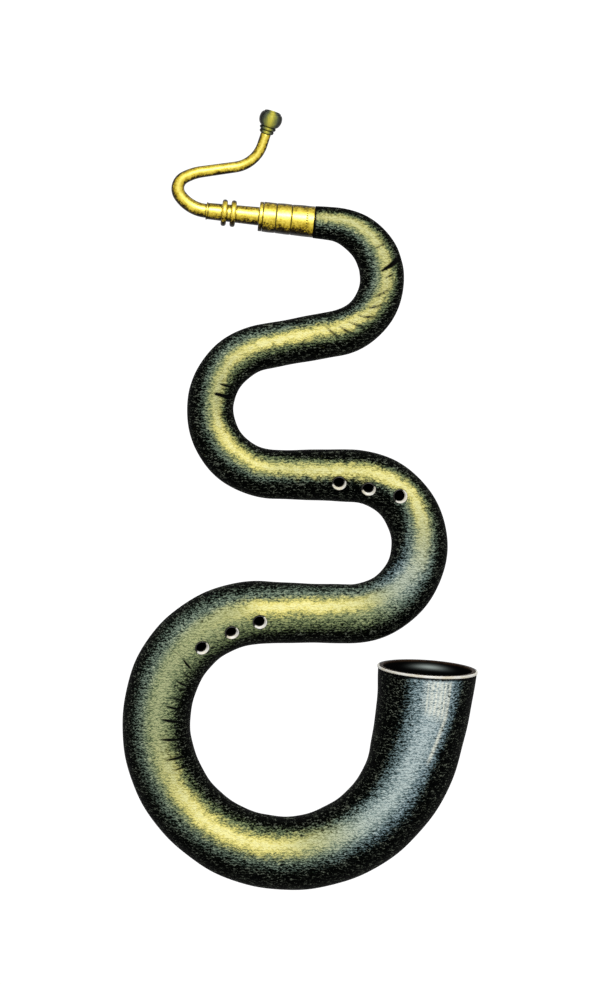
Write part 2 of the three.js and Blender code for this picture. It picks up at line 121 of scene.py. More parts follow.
def add_object(name: str, data: bpy.types.ID) -> bpy.types.Object:
    """Adds an object that holds the given data to the scene."""
    thing = bpy.data.objects.new(name, data)
    bpy.context.scene.collection.objects.link(thing)
    return thing


def direction(turn: float, rise: float) -> Vector:
    """A unit vector that leans off the front by a turn to the right and a rise, both in degrees."""
    turn, rise = np.radians(turn), np.radians(rise)
    return Vector((np.sin(turn) * np.cos(rise), -np.cos(turn) * np.cos(rise), np.sin(rise)))


def sum_before(steps: Array) -> Array:
    """The sum of the steps before each one."""
    return np.concatenate([[0.0], np.cumsum(steps)[:-1]])


def arc_end(length: Array, heading: Array, turn: Array) -> Array:
    """Where an arc from (0, 0) ends, as x and z: length sinc(turn length / 2) along its middle heading."""
    middle = heading + turn * length / 2
    return length * np.sinc(turn * length / (2 * np.pi)) * np.array([np.cos(middle), np.sin(middle)])


class BentLine:
    """A line in the plane Y = 0, made of runs and bows that follow each other without a corner."""

    def __init__(self, x: float, z: float, heading: float, stretches: Sequence[Stretch]) -> None:
        """Chains the stretches from a point and a heading.

        Args:
            x: where the line starts, along X.
            z: where it starts, along Z.
            heading: its first direction in degrees, anticlockwise from +X as seen from the front.
            stretches: its runs and bows in order.
        """
        self.lengths = np.array([p.length for p in stretches])
        self.turns = np.radians([p.sweep for p in stretches]) / self.lengths
        self.starts = sum_before(self.lengths)
        self.length = float(self.lengths.sum())
        self.headings = np.radians(heading) + sum_before(self.turns * self.lengths)
        along_x, along_z = arc_end(self.lengths, self.headings, self.turns)
        self.x, self.z = x + sum_before(along_x), z + sum_before(along_z)

    def at(self, s: Array) -> tuple[Array, Array, Array]:
        """Point and heading at distances along the line, which runs straight on past both ends.

        Args:
            s: distances from the line's start.

        Returns:
            x, z and heading in radians, each shaped like s.
        """
        s = np.asarray(s, float)
        k = np.clip(np.searchsorted(self.starts, s, side="right") - 1, 0, len(self.starts) - 1)
        d = np.clip(s - self.starts[k], 0, self.lengths[k])
        over = s - self.starts[k] - d
        heading = self.headings[k] + self.turns[k] * d
        x, z = arc_end(d, self.headings[k], self.turns[k])
        return self.x[k] + x + over * np.cos(heading), self.z[k] + z + over * np.sin(heading), heading

    def around(self, s: Array, angle: Array, radius: Array) -> Array:
        """Points round the line: centre(s) + radius (cos angle in-plane normal + sin angle Y).

        Args:
            s: distances along the line.
            angle: angles round it in radians.
            radius: distances from it.

        Returns:
            Points in millimetres, with a last axis of three.
        """
        x, z, heading = self.at(s)
        in_plane, y = radius * np.cos(angle), radius * np.sin(angle)
        return np.stack(np.broadcast_arrays(x - in_plane * np.sin(heading), y, z + in_plane * np.cos(heading)), -1)

    def locate(self, points: Array, step: float = 0.5) -> tuple[Array, Array]:
        """The inverse of around for a few points: the nearest sample of the line, and the angle there.

        Args:
            points: points in millimetres, one a row.
            step: distance between the samples of the line.

        Returns:
            Distances along the line, and angles round it in radians.
        """
        samples = np.arange(0, self.length, step)
        x, z, heading = self.at(samples)
        k = ((points[:, :1] - x) ** 2 + (points[:, 2:] - z) ** 2).argmin(1)
        in_plane = (points[:, 2] - z[k]) * np.cos(heading[k]) - (points[:, 0] - x[k]) * np.sin(heading[k])
        return samples[k], np.arctan2(points[:, 1], in_plane)


def smooth(low: float, high: float, value: Array) -> Array:
    """Smooth step from 0 at low to 1 at high, of which either may be the larger: t t (3 - 2 t)."""
    t = np.clip((value - low) / (high - low), 0, 1)
    return t * t * (3 - 2 * t)


def bell_curve(offset: Array, width: float) -> Array:
    """exp(-(offset / width)^2), which is 1 at no offset and 0.37 at one width."""
    return np.exp(-((offset / width) ** 2))


def read_shares(table: Shares, share: Array) -> Array:
    """Reads a table of (share, value) rows as a smooth curve.

    Between two rows it is the cubic that has their values, and at each row the slope between its neighbours.

    Args:
        table: rows in rising order of share.
        share: where to read it.

    Returns:
        The values, shaped like share.
    """
    at, value = np.array(table).T
    k = np.arange(len(at))
    before, after = np.maximum(k - 1, 0), np.minimum(k + 1, len(at) - 1)
    slope = (value[after] - value[before]) / (at[after] - at[before])
    i = np.clip(np.searchsorted(at, share, side="right") - 1, 0, len(at) - 2)
    width = at[i + 1] - at[i]
    u = np.clip((share - at[i]) / width, 0, 1)
    ends = value[i] * (1 + 2 * u) * (1 - u) ** 2 + value[i + 1] * u**2 * (3 - 2 * u)
    return ends + width * u * (1 - u) * (slope[i] * (1 - u) - slope[i + 1] * u)


def soften(profile: list[tuple[float, float]], rounding: float, steps: int = 4) -> Array:
    """Rounds the corners of a closed profile.

    Each corner P becomes the curve (1-t)^2 A + 2 t (1-t) P + t^2 B, from A before it to B after it.

    Args:
        profile: (distance, radius) corners in order.
        rounding: how far A and B lie from the corner, at most 0.45 of its shorter side.
        steps: pieces of each curve.

    Returns:
        The rounded profile as rows of (distance, radius).
    """
    corner = np.array(profile, float)
    sides = [np.roll(corner, shift, 0) - corner for shift in (1, -1)]
    lengths = [np.linalg.norm(side, axis=1, keepdims=True) for side in sides]
    cut = np.minimum(rounding, 0.45 * np.minimum(*lengths))
    a, b = (corner + side / length * cut for side, length in zip(sides, lengths))
    t = np.linspace(0, 1, steps + 1)[None, :, None]
    curve = (1 - t) ** 2 * a[:, None] + 2 * t * (1 - t) * corner[:, None] + t**2 * b[:, None]
    return curve.reshape(-1, 2)


def densify(profile: Array, step: float) -> Array:
    """Adds points to a closed profile, which keeps its corners.

    Args:
        profile: rows of (distance, radius).
        step: the longest side that it may have.

    Returns:
        The finer profile.
    """
    closed = np.vstack([profile, profile[:1]])
    reach = np.concatenate([[0.0], np.cumsum(np.linalg.norm(np.diff(closed, axis=0), axis=1))])
    t = np.unique(np.concatenate([reach, np.arange(0, reach[-1], step)]))[:-1]
    return np.stack([np.interp(t, reach, closed[:, i]) for i in (0, 1)], 1)


def ring_corners(start: float, end: float, outer: float, inner: float) -> list[tuple[float, float]]:
    """The section of a plain ring between two distances and two radii."""
    return [(start, outer), (end, outer), (end, inner), (start, inner)]


def round_over(edge: Array, radius: float) -> Array:
    """How far a rounded edge has sunk at a distance from it: radius - sqrt(radius^2 - (radius - edge)^2)."""
    return radius - np.sqrt(radius**2 - (radius - np.clip(edge, 0, radius)) ** 2)


def full_turn(columns: int) -> Array:
    """Equal angles once round, starting at zero, as one row."""
    return np.arange(columns)[None, :] * 2 * np.pi / columns


def grid_faces(rows: int, columns: int, wrap_rows: bool) -> Array:
    """Quads of a grid whose columns close on themselves.

    Args:
        rows: how many rows of points it has.
        columns: how many points each row has.
        wrap_rows: whether its last row also joins its first.

    Returns:
        The four corners of each quad.
    """
    i = np.arange(rows if wrap_rows else rows - 1)[:, None]
    j = np.arange(columns)[None, :]
    below, beside = (i + 1) % rows, (j + 1) % columns
    corners = [i * columns + j, i * columns + beside, below * columns + beside, below * columns + j]
    return np.stack(np.broadcast_arrays(*corners), -1).reshape(-1, 4)


def make_mesh(name: str, points: Array, values: dict[str, Array], quads: Array | None = None) -> Mesh:
    """Makes a closed mesh from a grid of points in millimetres, with its faces pointing out.

    Args:
        name: the mesh's name.
        points: rows and columns of points, with a last axis of three.
        values: under each attribute name, numbers that spread over the grid.
        quads: corners of each face, or None for a grid that closes both ways.

    Returns:
        The mesh, in metres.
    """
    if quads is None:
        quads = grid_faces(*points.shape[:2], wrap_rows=True)
    flat = points.reshape(-1, 3) * MM
    a, b, c, d = (flat[quads[:, i]] for i in range(4))
    if np.einsum("ij,ij->i", a, np.cross(b, c) + np.cross(c, d)).sum() < 0:
        quads = quads[:, ::-1]
    mesh = bpy.data.meshes.new(name)
    mesh.vertices.add(len(flat))
    mesh.vertices.foreach_set("co", flat.astype(np.float32).ravel())
    mesh.loops.add(quads.size)
    mesh.loops.foreach_set("vertex_index", np.ascontiguousarray(quads, np.int32).ravel())
    mesh.polygons.add(len(quads))
    mesh.polygons.foreach_set("loop_start", np.arange(0, quads.size, 4, dtype=np.int32))
    mesh.polygons.foreach_set("use_smooth", np.ones(len(quads), bool))
    mesh.update(calc_edges=True)
    mesh.set_sharp_from_angle(angle=np.radians(SHARP_EDGE))
    for key, value in values.items():
        mesh.attributes.new(key, "FLOAT", "POINT")
        write_value(mesh, key, np.broadcast_to(value, points.shape[:2]))
    return mesh


def read_value(mesh: Mesh, key: str) -> Array:
    """Reads the number that each vertex has under an attribute name."""
    value = np.zeros(len(mesh.vertices), np.float32)
    mesh.attributes[key].data.foreach_get("value", value)
    return value


def write_value(mesh: Mesh, key: str, value: Array) -> None:
    """Writes a number for each vertex under an attribute name."""
    mesh.attributes[key].data.foreach_set("value", value.reshape(-1).astype(np.float32))


def off_band(angle: Array, lean: Array) -> Array:
    """Angle from the nearer of two middles, one at the front and its mirror image at the back.

    Args:
        angle: angles round the line.
        lean: how far the middles lie off the front and off the back, towards the in-plane normal.

    Returns:
        Angles from -pi / 2 to pi / 2, positive towards the in-plane normal.
    """
    front, back = ((off - lean + np.pi) % (2 * np.pi) - np.pi for off in (angle - FRONT, BACK - angle))
    return np.clip(np.where(np.abs(front) < np.abs(back), front, back), -np.pi / 2, np.pi / 2)


def painted_light(heading: Array, angle: Array) -> Array:
    """Painted light for brass or horn: 1 - sin |offset| from a band along its front and one along its back."""
    lean = LIGHT_LEAN_UP * np.cos(heading) - LIGHT_LEAN_RIGHT * np.sin(heading)
    return 1 - np.sin(np.abs(off_band(angle, np.radians(lean))))


def sweep(
    name: str,
    line: BentLine,
    profile: Array,
    columns: int,
    relief: Array | float = 0.0,
    painted_lit: bool = False,
    **values: Array,
) -> Mesh:
    """Carries a closed profile round a line: point(i, j) = around(distance i, angle j, radius i + relief i j).

    Args:
        name: the mesh's name.
        line: the line it goes round.
        profile: rows of (distance, radius).
        columns: how many angles there are.
        relief: what is added to the radius, one number or one for each row and column.
        painted_lit: whether it gets painted highlight and shade, as brass and horn do.
        values: its other attributes.

    Returns:
        A closed mesh.
    """
    s, angle = profile[:, :1], full_turn(columns)
    if painted_lit:
        values["painted_light"] = painted_light(line.at(s)[2], angle)
    return make_mesh(name, line.around(s, angle, profile[:, 1:] + relief), values)


def cut_away(mesh: Mesh, cutters: list[Mesh]) -> Mesh:
    """Takes the cutters away from a closed mesh.

    Args:
        mesh: the mesh to cut.
        cutters: closed meshes.

    Returns:
        The cut mesh, under the same name.
    """
    name = mesh.name
    blank, *tools = [add_object(part.name, part) for part in (mesh, *cutters)]
    for tool in tools:
        modifier = blank.modifiers.new(tool.name, "BOOLEAN")
        modifier.operation = "DIFFERENCE"
        modifier.solver = "EXACT"
        modifier.object = tool
    bpy.context.view_layer.update()
    cut = bpy.data.meshes.new_from_object(blank.evaluated_get(bpy.context.evaluated_depsgraph_get()))
    for spare in (blank, *tools):
        bpy.data.objects.remove(spare)
    for spare in (mesh, *cutters):
        bpy.data.meshes.remove(spare)
    cut.name = name
    return cut


class Nodes:
    """A node tree under construction, with short calls for the nodes that are used here."""

    def __init__(self, tree: bpy.types.NodeTree) -> None:
        """Takes the tree to work on."""
        self.tree = tree

    def feed(self, socket: Socket, value: object) -> None:
        """Links a socket to another one, or sets it to a constant."""
        if isinstance(value, Socket):
            self.tree.links.new(value, socket)
        else:
            socket.default_value = (*value, 1.0) if socket.type == "RGBA" else value

    def node(self, kind: str, inputs: dict[str | int, object], **settings: object) -> bpy.types.Node:
        """Adds a node, sets its properties and feeds its inputs, which are named or numbered."""
        node = self.tree.nodes.new("ShaderNode" + kind)
        for key, value in settings.items():
            setattr(node, key, value)
        for key, value in inputs.items():
            self.feed(node.inputs[key], value)
        return node

    def math(self, operation: str, a: object, b: object) -> Socket:
        """One sum of two numbers or sockets."""
        return self.node("Math", {0: a, 1: b}, operation=operation).outputs[0]

    def seen(self) -> Socket:
        """One for the rays that show the background: those from the camera, and mirrored or refracted ones."""
        rays = self.node("LightPath", {}).outputs
        both = self.math("MAXIMUM", rays["Is Camera Ray"], rays["Is Glossy Ray"])
        return self.math("MAXIMUM", both, rays["Is Transmission Ray"])


class Shader(Nodes):
    """The nodes of a material that holds a Principled surface."""

    def __init__(self, name: str) -> None:
        """Starts the material."""
        self.material = bpy.data.materials.new(name)
        self.material.use_nodes = True
        super().__init__(self.material.node_tree)
        self.surface = self.tree.nodes["Principled BSDF"]

    def settle(self, **values: object) -> None:
        """Sets or links the surface's own sockets, named with underscores for spaces."""
        for key, value in values.items():
            self.feed(self.surface.inputs[key.replace("_", " ")], value)

    def mesh(self, name: str) -> Socket:
        """Reads a number that the mesh holds for each point."""
        return self.node("Attribute", {}, attribute_name=name).outputs["Fac"]

    def place(self, size: float, stretch: Colour, turn: Colour = STILL) -> Socket:
        """Object coordinates, turned, in units of size millimetres times the stretch along each axis."""
        scale = tuple(1 / (size * MM * along) for along in stretch)
        where = self.node("TexCoord", {}).outputs["Object"]
        return self.node("Mapping", {"Vector": where, "Rotation": turn, "Scale": scale}).outputs["Vector"]

    def cells(
        self, size: float, detail: float, bend: float, stretch: Colour = EVEN, turn: Colour = STILL
    ) -> Socket:
        """Soft noise in cells about size millimetres wide, longer by stretch along each axis, and bent."""
        inputs = {"Vector": self.place(size, stretch, turn), "Scale": 1.0, "Detail": detail, "Distortion": bend}
        return self.node("TexNoise", inputs).outputs["Fac"]

    def waves(self, size: float, stretch: Colour, bend: float, detail: float, detail_scale: float) -> Socket:
        """Waves that follow each other along Z, one for each size in millimetres, bent by noise."""
        inputs = {"Vector": self.place(size, stretch), "Scale": np.pi / 10, "Distortion": bend}
        inputs |= {"Detail": detail, "Detail Scale": detail_scale}
        settings = {"wave_type": "BANDS", "bands_direction": "Z", "wave_profile": "SIN"}
        return self.node("TexWave", inputs, **settings).outputs["Fac"]

    def add_up(self, start: object, *terms: tuple[Socket, float]) -> Socket:
        """start plus each term's (socket minus a half) times its weight."""
        total = start
        for socket, weight in terms:
            total = self.math("ADD", total, self.math("MULTIPLY", self.math("SUBTRACT", socket, 0.5), weight))
        return total

    def ramp(self, factor: Socket, *stops: tuple[float, Colour]) -> Socket:
        """A colour that changes with a number.

        Args:
            factor: the number.
            stops: at least two (place, colour) pairs in rising order.

        Returns:
            The colour.
        """
        ramp = self.node("ValToRGB", {"Fac": factor})
        elements = ramp.color_ramp.elements
        for _ in range(len(stops) - 2):
            elements.new(0.5)
        for element, (position, colour) in zip(elements, stops):
            element.position = position
            element.color = (*colour, 1.0)
        return ramp.outputs["Color"]

    def band(self, factor: Socket, low: float, high: float) -> Socket:
        """Zero below low, one above high, and smooth between them."""
        inputs = {"Value": factor, "From Min": low, "From Max": high}
        return self.node("MapRange", inputs, interpolation_type="SMOOTHSTEP").outputs["Result"]

    def mix(self, factor: Socket, a: object, b: object) -> Socket:
        """Two colours mixed by a number, from a at zero to b at one."""
        return self.node("Mix", {"Factor": factor, 6: a, 7: b}, data_type="RGBA").outputs[2]

    def dress(self, colour: Socket, grain: Socket, height: float, strength: float, **values: object) -> Material:
        """Gives the surface its colour and its grain.

        Args:
            colour: the base colour.
            grain: what raises the grain.
            height: how high, in millimetres.
            strength: the share of it that shows.
            values: other sockets of the surface.

        Returns:
            The finished material.
        """
        bump = self.node("Bump", {"Height": grain, "Distance": height * MM, "Strength": strength})
        self.settle(Base_Color=colour, Normal=bump.outputs["Normal"], **values)
        return self.material


@dataclass(frozen=True)
class LeatherFinish:
    """Black leather over linen, bloomed blue-grey near the bell, painted with a highlight and shade band: black at
    the sides, through olive to straw yellow in the middle.

    The stops are places on the band attribute, which is 1 in the middle of the painted highlight band.
    """

    stops: tuple[float, ...] = (0.0, 0.30, 0.43, 0.56, 0.76, 1.0)
    # Colours of the painted highlight and shade band, from black at the sides to pale in the middle
    warm: tuple[Colour, ...] = (
        (0.0004, 0.0006, 0.0004), (0.0015, 0.002, 0.001), (0.026, 0.033, 0.016),
        (0.088, 0.118, 0.052), (0.215, 0.262, 0.105), (0.43, 0.46, 0.20),
    )
    cool: tuple[Colour, ...] = (
        (0.0004, 0.0006, 0.0006), (0.0015, 0.002, 0.002), (0.024, 0.038, 0.036),
        (0.102, 0.158, 0.175), (0.258, 0.352, 0.385), (0.56, 0.67, 0.69),
    )
    highlight_straw: tuple[tuple[float, Colour], ...] = (
        (0.45, (0.50, 0.47, 0.13)), (0.72, (0.96, 0.84, 0.23)), (1.0, (1.0, 0.95, 0.42)),
    )
    streak_white: Colour = (0.95, 0.97, 0.83)
    black: Colour = (0.003, 0.003, 0.003)
    crest_glint: Colour = (0.15, 0.17, 0.13)
    ripple: float = 3.5
    pebble: float = 2.3
    patch: float = 11.0

    def material(self) -> Material:
        """Painted highlight and shade from the band, broken up by ripples and pebbles, which also raise the grain.
        """
        shader = Shader("black_leather_painted_light")
        wave = shader.waves(self.ripple, (1.2, 1.2, 1.0), bend=9.0, detail=2.0, detail_scale=3.2)
        cell = shader.cells(self.ripple, detail=3.0, bend=0.8, stretch=(1.5, 1.5, 1.0))
        pebble = shader.cells(self.pebble, detail=2.0, bend=0.4, stretch=(1.4, 1.4, 1.0))
        grain = shader.add_up(0.5, (wave, 0.4), (cell, 0.7), (pebble, 0.9))
        # Painted highlight and shade: the band attribute runs from black at the sides to pale in the middle
        band = shader.add_up(shader.mesh("band"), (grain, 0.55))
        deep = shader.add_up(shader.mesh("band"), (grain, 0.88))
        warm, cool = (shader.ramp(deep, *zip(self.stops, colours)) for colours in (self.warm, self.cool))
        skin = shader.mix(shader.mesh("bloom"), warm, cool)
        patch = shader.cells(self.patch, detail=2.0, bend=0.5)
        # Painted highlight: yellow streaks in the middle of the band, as strong as the mesh's highlight strength
        yellow_highlight = shader.add_up(shader.mesh("yellow_highlight"), (grain, 0.5), (patch, 0.75))
        yellow_highlight_mask = shader.math("MULTIPLY", shader.band(yellow_highlight, 0.2, 0.92), shader.mesh("highlight_strength"))
        skin = shader.mix(yellow_highlight_mask, skin, shader.ramp(yellow_highlight, *self.highlight_straw))
        # Painted highlight: pale streaks below the lip, broken up by the grain
        highlight_streak = shader.math("MULTIPLY", shader.mesh("highlight_streak"), shader.band(grain, 0.05, 0.6))
        skin = shader.mix(highlight_streak, skin, self.streak_white)
        # Painted glints: the crests of the ripples are lighter where the leather is neither highlighted nor quite
        # black
        line = shader.math("MULTIPLY", shader.band(wave, 0.62, 0.95), shader.band(cell, 0.47, 0.63))
        blackest = shader.math("MULTIPLY", shader.band(band, 0.3, 0.0), 0.5)
        dark = shader.math("SUBTRACT", shader.band(band, 0.60, 0.42), blackest)
        skin = shader.mix(shader.math("MULTIPLY", line, dark), skin, self.crest_glint)
        # The creases, painted shade, and the leather next to both ends go black
        crease = shader.band(shader.add_up(shader.mesh("crease"), (grain, 0.7)), 0.28, 0.78)
        skin = shader.mix(crease, skin, self.black)
        shader.settle(Specular_IOR_Level=0.005, Specular_Tint=(1.0, 0.95, 0.78))
        rough = shader.add_up(0.5, (pebble, 0.25))
        return shader.dress(skin, grain, height=1.2, strength=1.0, Roughness=rough)


@dataclass(frozen=True)
class WalnutFinish:
    """Oiled walnut, brown at the lip and nearly black down the bore, with a painted highlight on its far wall."""

    heart: Colour = (0.014, 0.008, 0.005)
    sap: Colour = (0.045, 0.026, 0.014)
    bore_black: Colour = (0.002, 0.002, 0.002)
    painted_bore_highlight: Colour = (0.46, 0.53, 0.50)
    fibre: float = 1.6
    figure: float = 14.0

    def material(self) -> Material:
        """Grain along the plank's length, which runs up the horn, near black in the bore, and a painted highlight
        there.
        """
        shader = Shader("oiled_walnut")
        grain = shader.cells(self.fibre, detail=4.0, bend=0.4, stretch=(1.0, 1.0, 18.0))
        figure = shader.cells(self.figure, detail=2.0, bend=1.2, stretch=(1.0, 1.0, 6.0))
        wood = shader.ramp(shader.add_up(grain, (figure, 0.8)), (0.30, self.heart), (0.70, self.sap))
        wood = shader.mix(shader.mesh("dark_bore"), wood, self.bore_black)
        # Painted highlight: a pale patch on the far wall of the bore
        wood = shader.mix(shader.mesh("painted_bore_highlight"), wood, self.painted_bore_highlight)
        rough = shader.add_up(0.4, (grain, 0.25))
        return shader.dress(wood, grain, height=0.25, strength=0.4, Roughness=rough, Specular_IOR_Level=0.01)


@dataclass(frozen=True)
class BoneFinish:
    """Polished bone with fine streaks, yellowed a little, and dark where painted shade lies."""

    pale: Colour = (0.90, 0.89, 0.83)
    aged: Colour = (0.74, 0.68, 0.52)
    grime: Colour = (0.012, 0.010, 0.008)
    streak: float = 0.8
    cloud: float = 16.0

    def material(self) -> Material:
        """Fine streaks and yellowing, with the painted shade that the mesh holds."""
        shader = Shader("aged_bone")
        streak = shader.cells(self.streak, detail=3.0, bend=0.5, stretch=(5.0, 5.0, 1.0))
        cloud = shader.cells(self.cloud, detail=2.0, bend=0.6)
        bone = shader.ramp(shader.add_up(streak, (cloud, 0.9)), (0.35, self.aged), (0.62, self.pale))
        grime = shader.band(shader.add_up(shader.mesh("grime"), (streak, 0.25)), 0.25, 0.75)
        bone = shader.mix(grime, bone, self.grime)
        rough = shader.add_up(0.36, (streak, 0.2))
        return shader.dress(bone, streak, height=0.08, strength=0.4, Roughness=rough, Specular_IOR_Level=0.4)


@dataclass(frozen=True)
class BrassFinish:
    """Old golden brass, mottled by handling and tarnished in the engraved lines, with painted highlight and shade.
    """

    pale: Colour = (0.84, 0.71, 0.16)
    gold: Colour = (0.68, 0.53, 0.068)
    ochre: Colour = (0.40, 0.285, 0.022)
    shaded_brass: Colour = (0.035, 0.023, 0.006)
    black: Colour = (0.006, 0.004, 0.002)
    mottle: float = 2.4
    cloud: float = 9.0

    def material(self) -> Material:
        """Painted highlight and shade: pale gold along the middle, through ochre to near black at the sides."""
        shader = Shader("handled_brass")
        mottle = shader.cells(self.mottle, detail=3.0, bend=0.6)
        cloud = shader.cells(self.cloud, detail=2.0, bend=0.4)
        painted_lit = shader.add_up(shader.mesh("painted_light"), (mottle, 0.95), (cloud, 0.6))
        colours = (self.black, self.shaded_brass, self.ochre, self.gold, self.pale)
        metal = shader.ramp(painted_lit, *zip((0.0, 0.19, 0.38, 0.62, 0.98), colours))
        # Darkened in the engraved lines, and painted shade at the edges and beside the collars
        metal = shader.mix(shader.mesh("crease"), metal, self.black)
        rough = shader.add_up(0.4, (mottle, 0.3), (cloud, 0.2))
        return shader.dress(metal, mottle, height=0.2, strength=0.5, Roughness=rough, Metallic=1.0)


@dataclass(frozen=True)
class HornFinish:
    """Turned and polished horn: greenish grey with olive and yellow streaks that run with its length."""

    dark: Colour = (0.008, 0.009, 0.005)
    grey: Colour = (0.085, 0.10, 0.065)
    olive: Colour = (0.25, 0.265, 0.06)
    highlight_straw: Colour = (0.62, 0.56, 0.075)
    streak: float = 1.8
    axis_turn: float = 0.31

    def material(self) -> Material:
        """Streaks along the mouthpiece's length, with painted highlight and shade, and painted shade in the
        grooves.
        """
        shader = Shader("turned_horn")
        turn = (0.0, self.axis_turn, 0.0)
        streak = shader.cells(self.streak, detail=3.0, bend=0.8, stretch=(1.0, 1.0, 5.0), turn=turn)
        painted_lit = shader.add_up(shader.mesh("painted_light"), (streak, 0.5))
        horn = shader.ramp(painted_lit, *zip((0.2, 0.42, 0.64, 0.95), (self.dark, self.grey, self.olive, self.highlight_straw)))
        horn = shader.mix(shader.mesh("crease"), horn, self.dark)
        rough = shader.add_up(0.3, (streak, 0.2))
        return shader.dress(horn, streak, height=0.1, strength=0.35, Roughness=rough, Specular_IOR_Level=0.08)


@dataclass(frozen=True)
class ThreadFinish:
    """Waxed linen thread, wound tight."""

    flax: Colour = (0.52, 0.43, 0.29)
    shade: Colour = (0.20, 0.15, 0.09)
    fibre: float = 0.35

    def material(self) -> Material:
        """Fibres along the thread, and painted shade between the turns."""
        shader = Shader("waxed_thread")
        fibre = shader.cells(self.fibre, detail=3.0, bend=0.3)
        tone = shader.add_up(shader.mesh("crown"), (fibre, 0.7))
        tone = shader.ramp(tone, (0.15, self.shade), (0.7, self.flax))
        return shader.dress(tone, fibre, height=0.12, strength=0.5, Roughness=0.72, Specular_IOR_Level=0.3)


class Bench:
    """Where finished pieces are put in place. Each material is made once and shared by its slot's pieces."""

    def __init__(self) -> None:
        """Makes the materials."""
        finishes = (LeatherFinish, WalnutFinish, BoneFinish, BrassFinish, HornFinish, ThreadFinish)
        self.materials = {slot: finish().material() for slot, finish in zip(Slot, finishes)}

    def add(self, mesh: Mesh, node: str, slot: Slot, body: Body = Body.HORN) -> None:
        """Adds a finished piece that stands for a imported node.

        Args:
            mesh: its mesh, in place, whose name it takes.
            node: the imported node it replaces.
            slot: the record's material slot.
            body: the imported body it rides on.
        """
        piece = add_object(mesh.name, mesh)
        mesh.materials.clear()
        mesh.materials.append(self.materials[slot])
        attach(piece, body.value)
        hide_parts(node)
        log.info("%s: %d faces, for %s on %s", piece.name, len(mesh.polygons), node, body.value)


@dataclass(frozen=True)
class Crease:
    """A pucker across the leather, the same on the front and on the back.

    It runs between two leans, in degrees off the front (or back) towards the in-plane normal, and slants
    along the body by a length on its way from the first to the second.
    """

    at: float
    start: float
    end: float
    slant: float
    depth: float
    width: float

    def weight(self, s: Array, angle: Array) -> Array:
        """The crease's share of its full depth: a bell curve along the body, tapered to a point at both ends.

        Args:
            s: distances along the body.
            angle: angles round it.

        Returns:
            Numbers from 0 to 1.
        """
        lean = np.degrees(np.arctan2(np.cos(angle), np.abs(np.sin(angle))))
        t = np.clip((lean - self.start) / (self.end - self.start), 0, 1)
        taper = np.sqrt(np.sin(np.pi * t))
        return bell_curve(s - self.at - self.slant * t, self.width * (0.4 + 0.6 * taper)) * taper

    def rows(self, step: float) -> Array:
        """Close distances along the body that carry the crease's shape."""
        low, high = sorted((self.at, self.at + self.slant))
        return np.arange(low - 2.5 * self.width, high + 2.5 * self.width, step)


@dataclass(frozen=True)
class NeckFerrule:
    """The brass that closes the neck: an engraved ferrule, the ring at its mouth and the socket's lining."""

    length: float = 66.0
    mouth_diameter: float = 35.6
    skirt_diameter: float = 37.6
    wall: float = 1.2
    line_shares: tuple[float, ...] = (0.31, 0.59, 0.87)
    line_width: float = 1.4
    line_depth: float = 0.5
    notches: int = 36
    cushion: float = 0.22
    hammering: float = 0.06
    ring_width: float = 4.5
    ring_round: float = 1.2
    liner_diameter: float = 20.4
    liner_wall: float = 1.0
    liner_length: float = 50.0

    def radius(self, s: Array) -> Array:
        """The ferrule's cone."""
        return (self.mouth_diameter + (self.skirt_diameter - self.mouth_diameter) * s / self.length) / 2

    def ferrule(self, line: BentLine) -> Mesh:
        """The ferrule. Its engraved lines are round-bottomed grooves, and the last is milled into dots.

        The milled groove is also multiplied by (1 + cos(notches angle)) / 2. Between the lines the brass is
        cushioned, and all of it is a little uneven from the hammer.
        """
        start, end = self.ring_width + CLEARANCE, self.length
        near, far = self.radius(start), self.radius(end)
        corners = [(start, near), (end, far), (end, far - self.wall), (start, near - self.wall)]
        profile = densify(soften(corners, rounding=0.5), step=0.45)
        columns = self.notches * 6
        s, angle = profile[:, :1], full_turn(columns)
        outside = smooth(self.wall / 2, self.wall * 0.8, profile[:, 1:] - self.radius(s) + self.wall)
        milling = (1.0, 1.0, (1 + np.cos(self.notches * angle)) / 2)
        lines = zip(self.line_shares, milling)
        grooves = [bell_curve(2 * (s - share * self.length), self.line_width) * milled for share, milled in lines]
        groove = np.maximum(np.maximum(grooves[0], grooves[1]), grooves[2]) * outside
        cushion = self.cushion * np.sin(np.pi * np.clip(s / self.length / self.line_shares[0], 0, 3)) ** 2
        hammered = self.hammering * np.sin(2 * np.pi * s / 23 + 3 * angle)
        edge = smooth(1.2, 0, np.minimum(s - start, end - s))
        # Darkened in the engraved grooves, and painted shade at both ends
        crease = np.clip(groove * 1.2 + 0.5 * edge, 0, 1)
        relief = (cushion + hammered) * outside - self.line_depth * groove
        return sweep("engraved_ferrule", line, profile, columns, relief, painted_lit=True, crease=crease)

    def ring(self, line: BentLine) -> Mesh:
        """The ring at the ferrule's mouth, rounded over outside."""
        corners = ring_corners(0, self.ring_width, self.mouth_diameter / 2, self.liner_diameter / 2 + CLEARANCE)
        profile = densify(soften(corners, self.ring_round, steps=8), step=0.8)
        edge = smooth(self.ring_width * 0.7, self.ring_width, profile[:, :1])
        # Painted shade at its inner edge, next to the ferrule
        return sweep("ferrule_mouth_ring", line, profile, columns=144, painted_lit=True, crease=0.8 * edge)

    def liner(self, line: BentLine) -> Mesh:
        """The tube that lines the socket, painted shade darkening it down its length."""
        outer = self.liner_diameter / 2
        corners = ring_corners(0, self.liner_length, outer, outer - self.liner_wall)
        profile = densify(soften(corners, rounding=0.3), step=4.0)
        return sweep("socket_lining", line, profile, columns=96, painted_lit=True, crease=smooth(6, 30, profile[:, :1]))

    def build(self, line: BentLine, bench: Bench) -> None:
        """Makes the three pieces and puts them in place."""
        bench.add(self.ferrule(line), "neck_ferrule", Slot.BRASS)
        bench.add(self.ring(line), "ferrule_cap", Slot.BRASS)
        bench.add(self.liner(line), "socket_liner", Slot.BRASS)


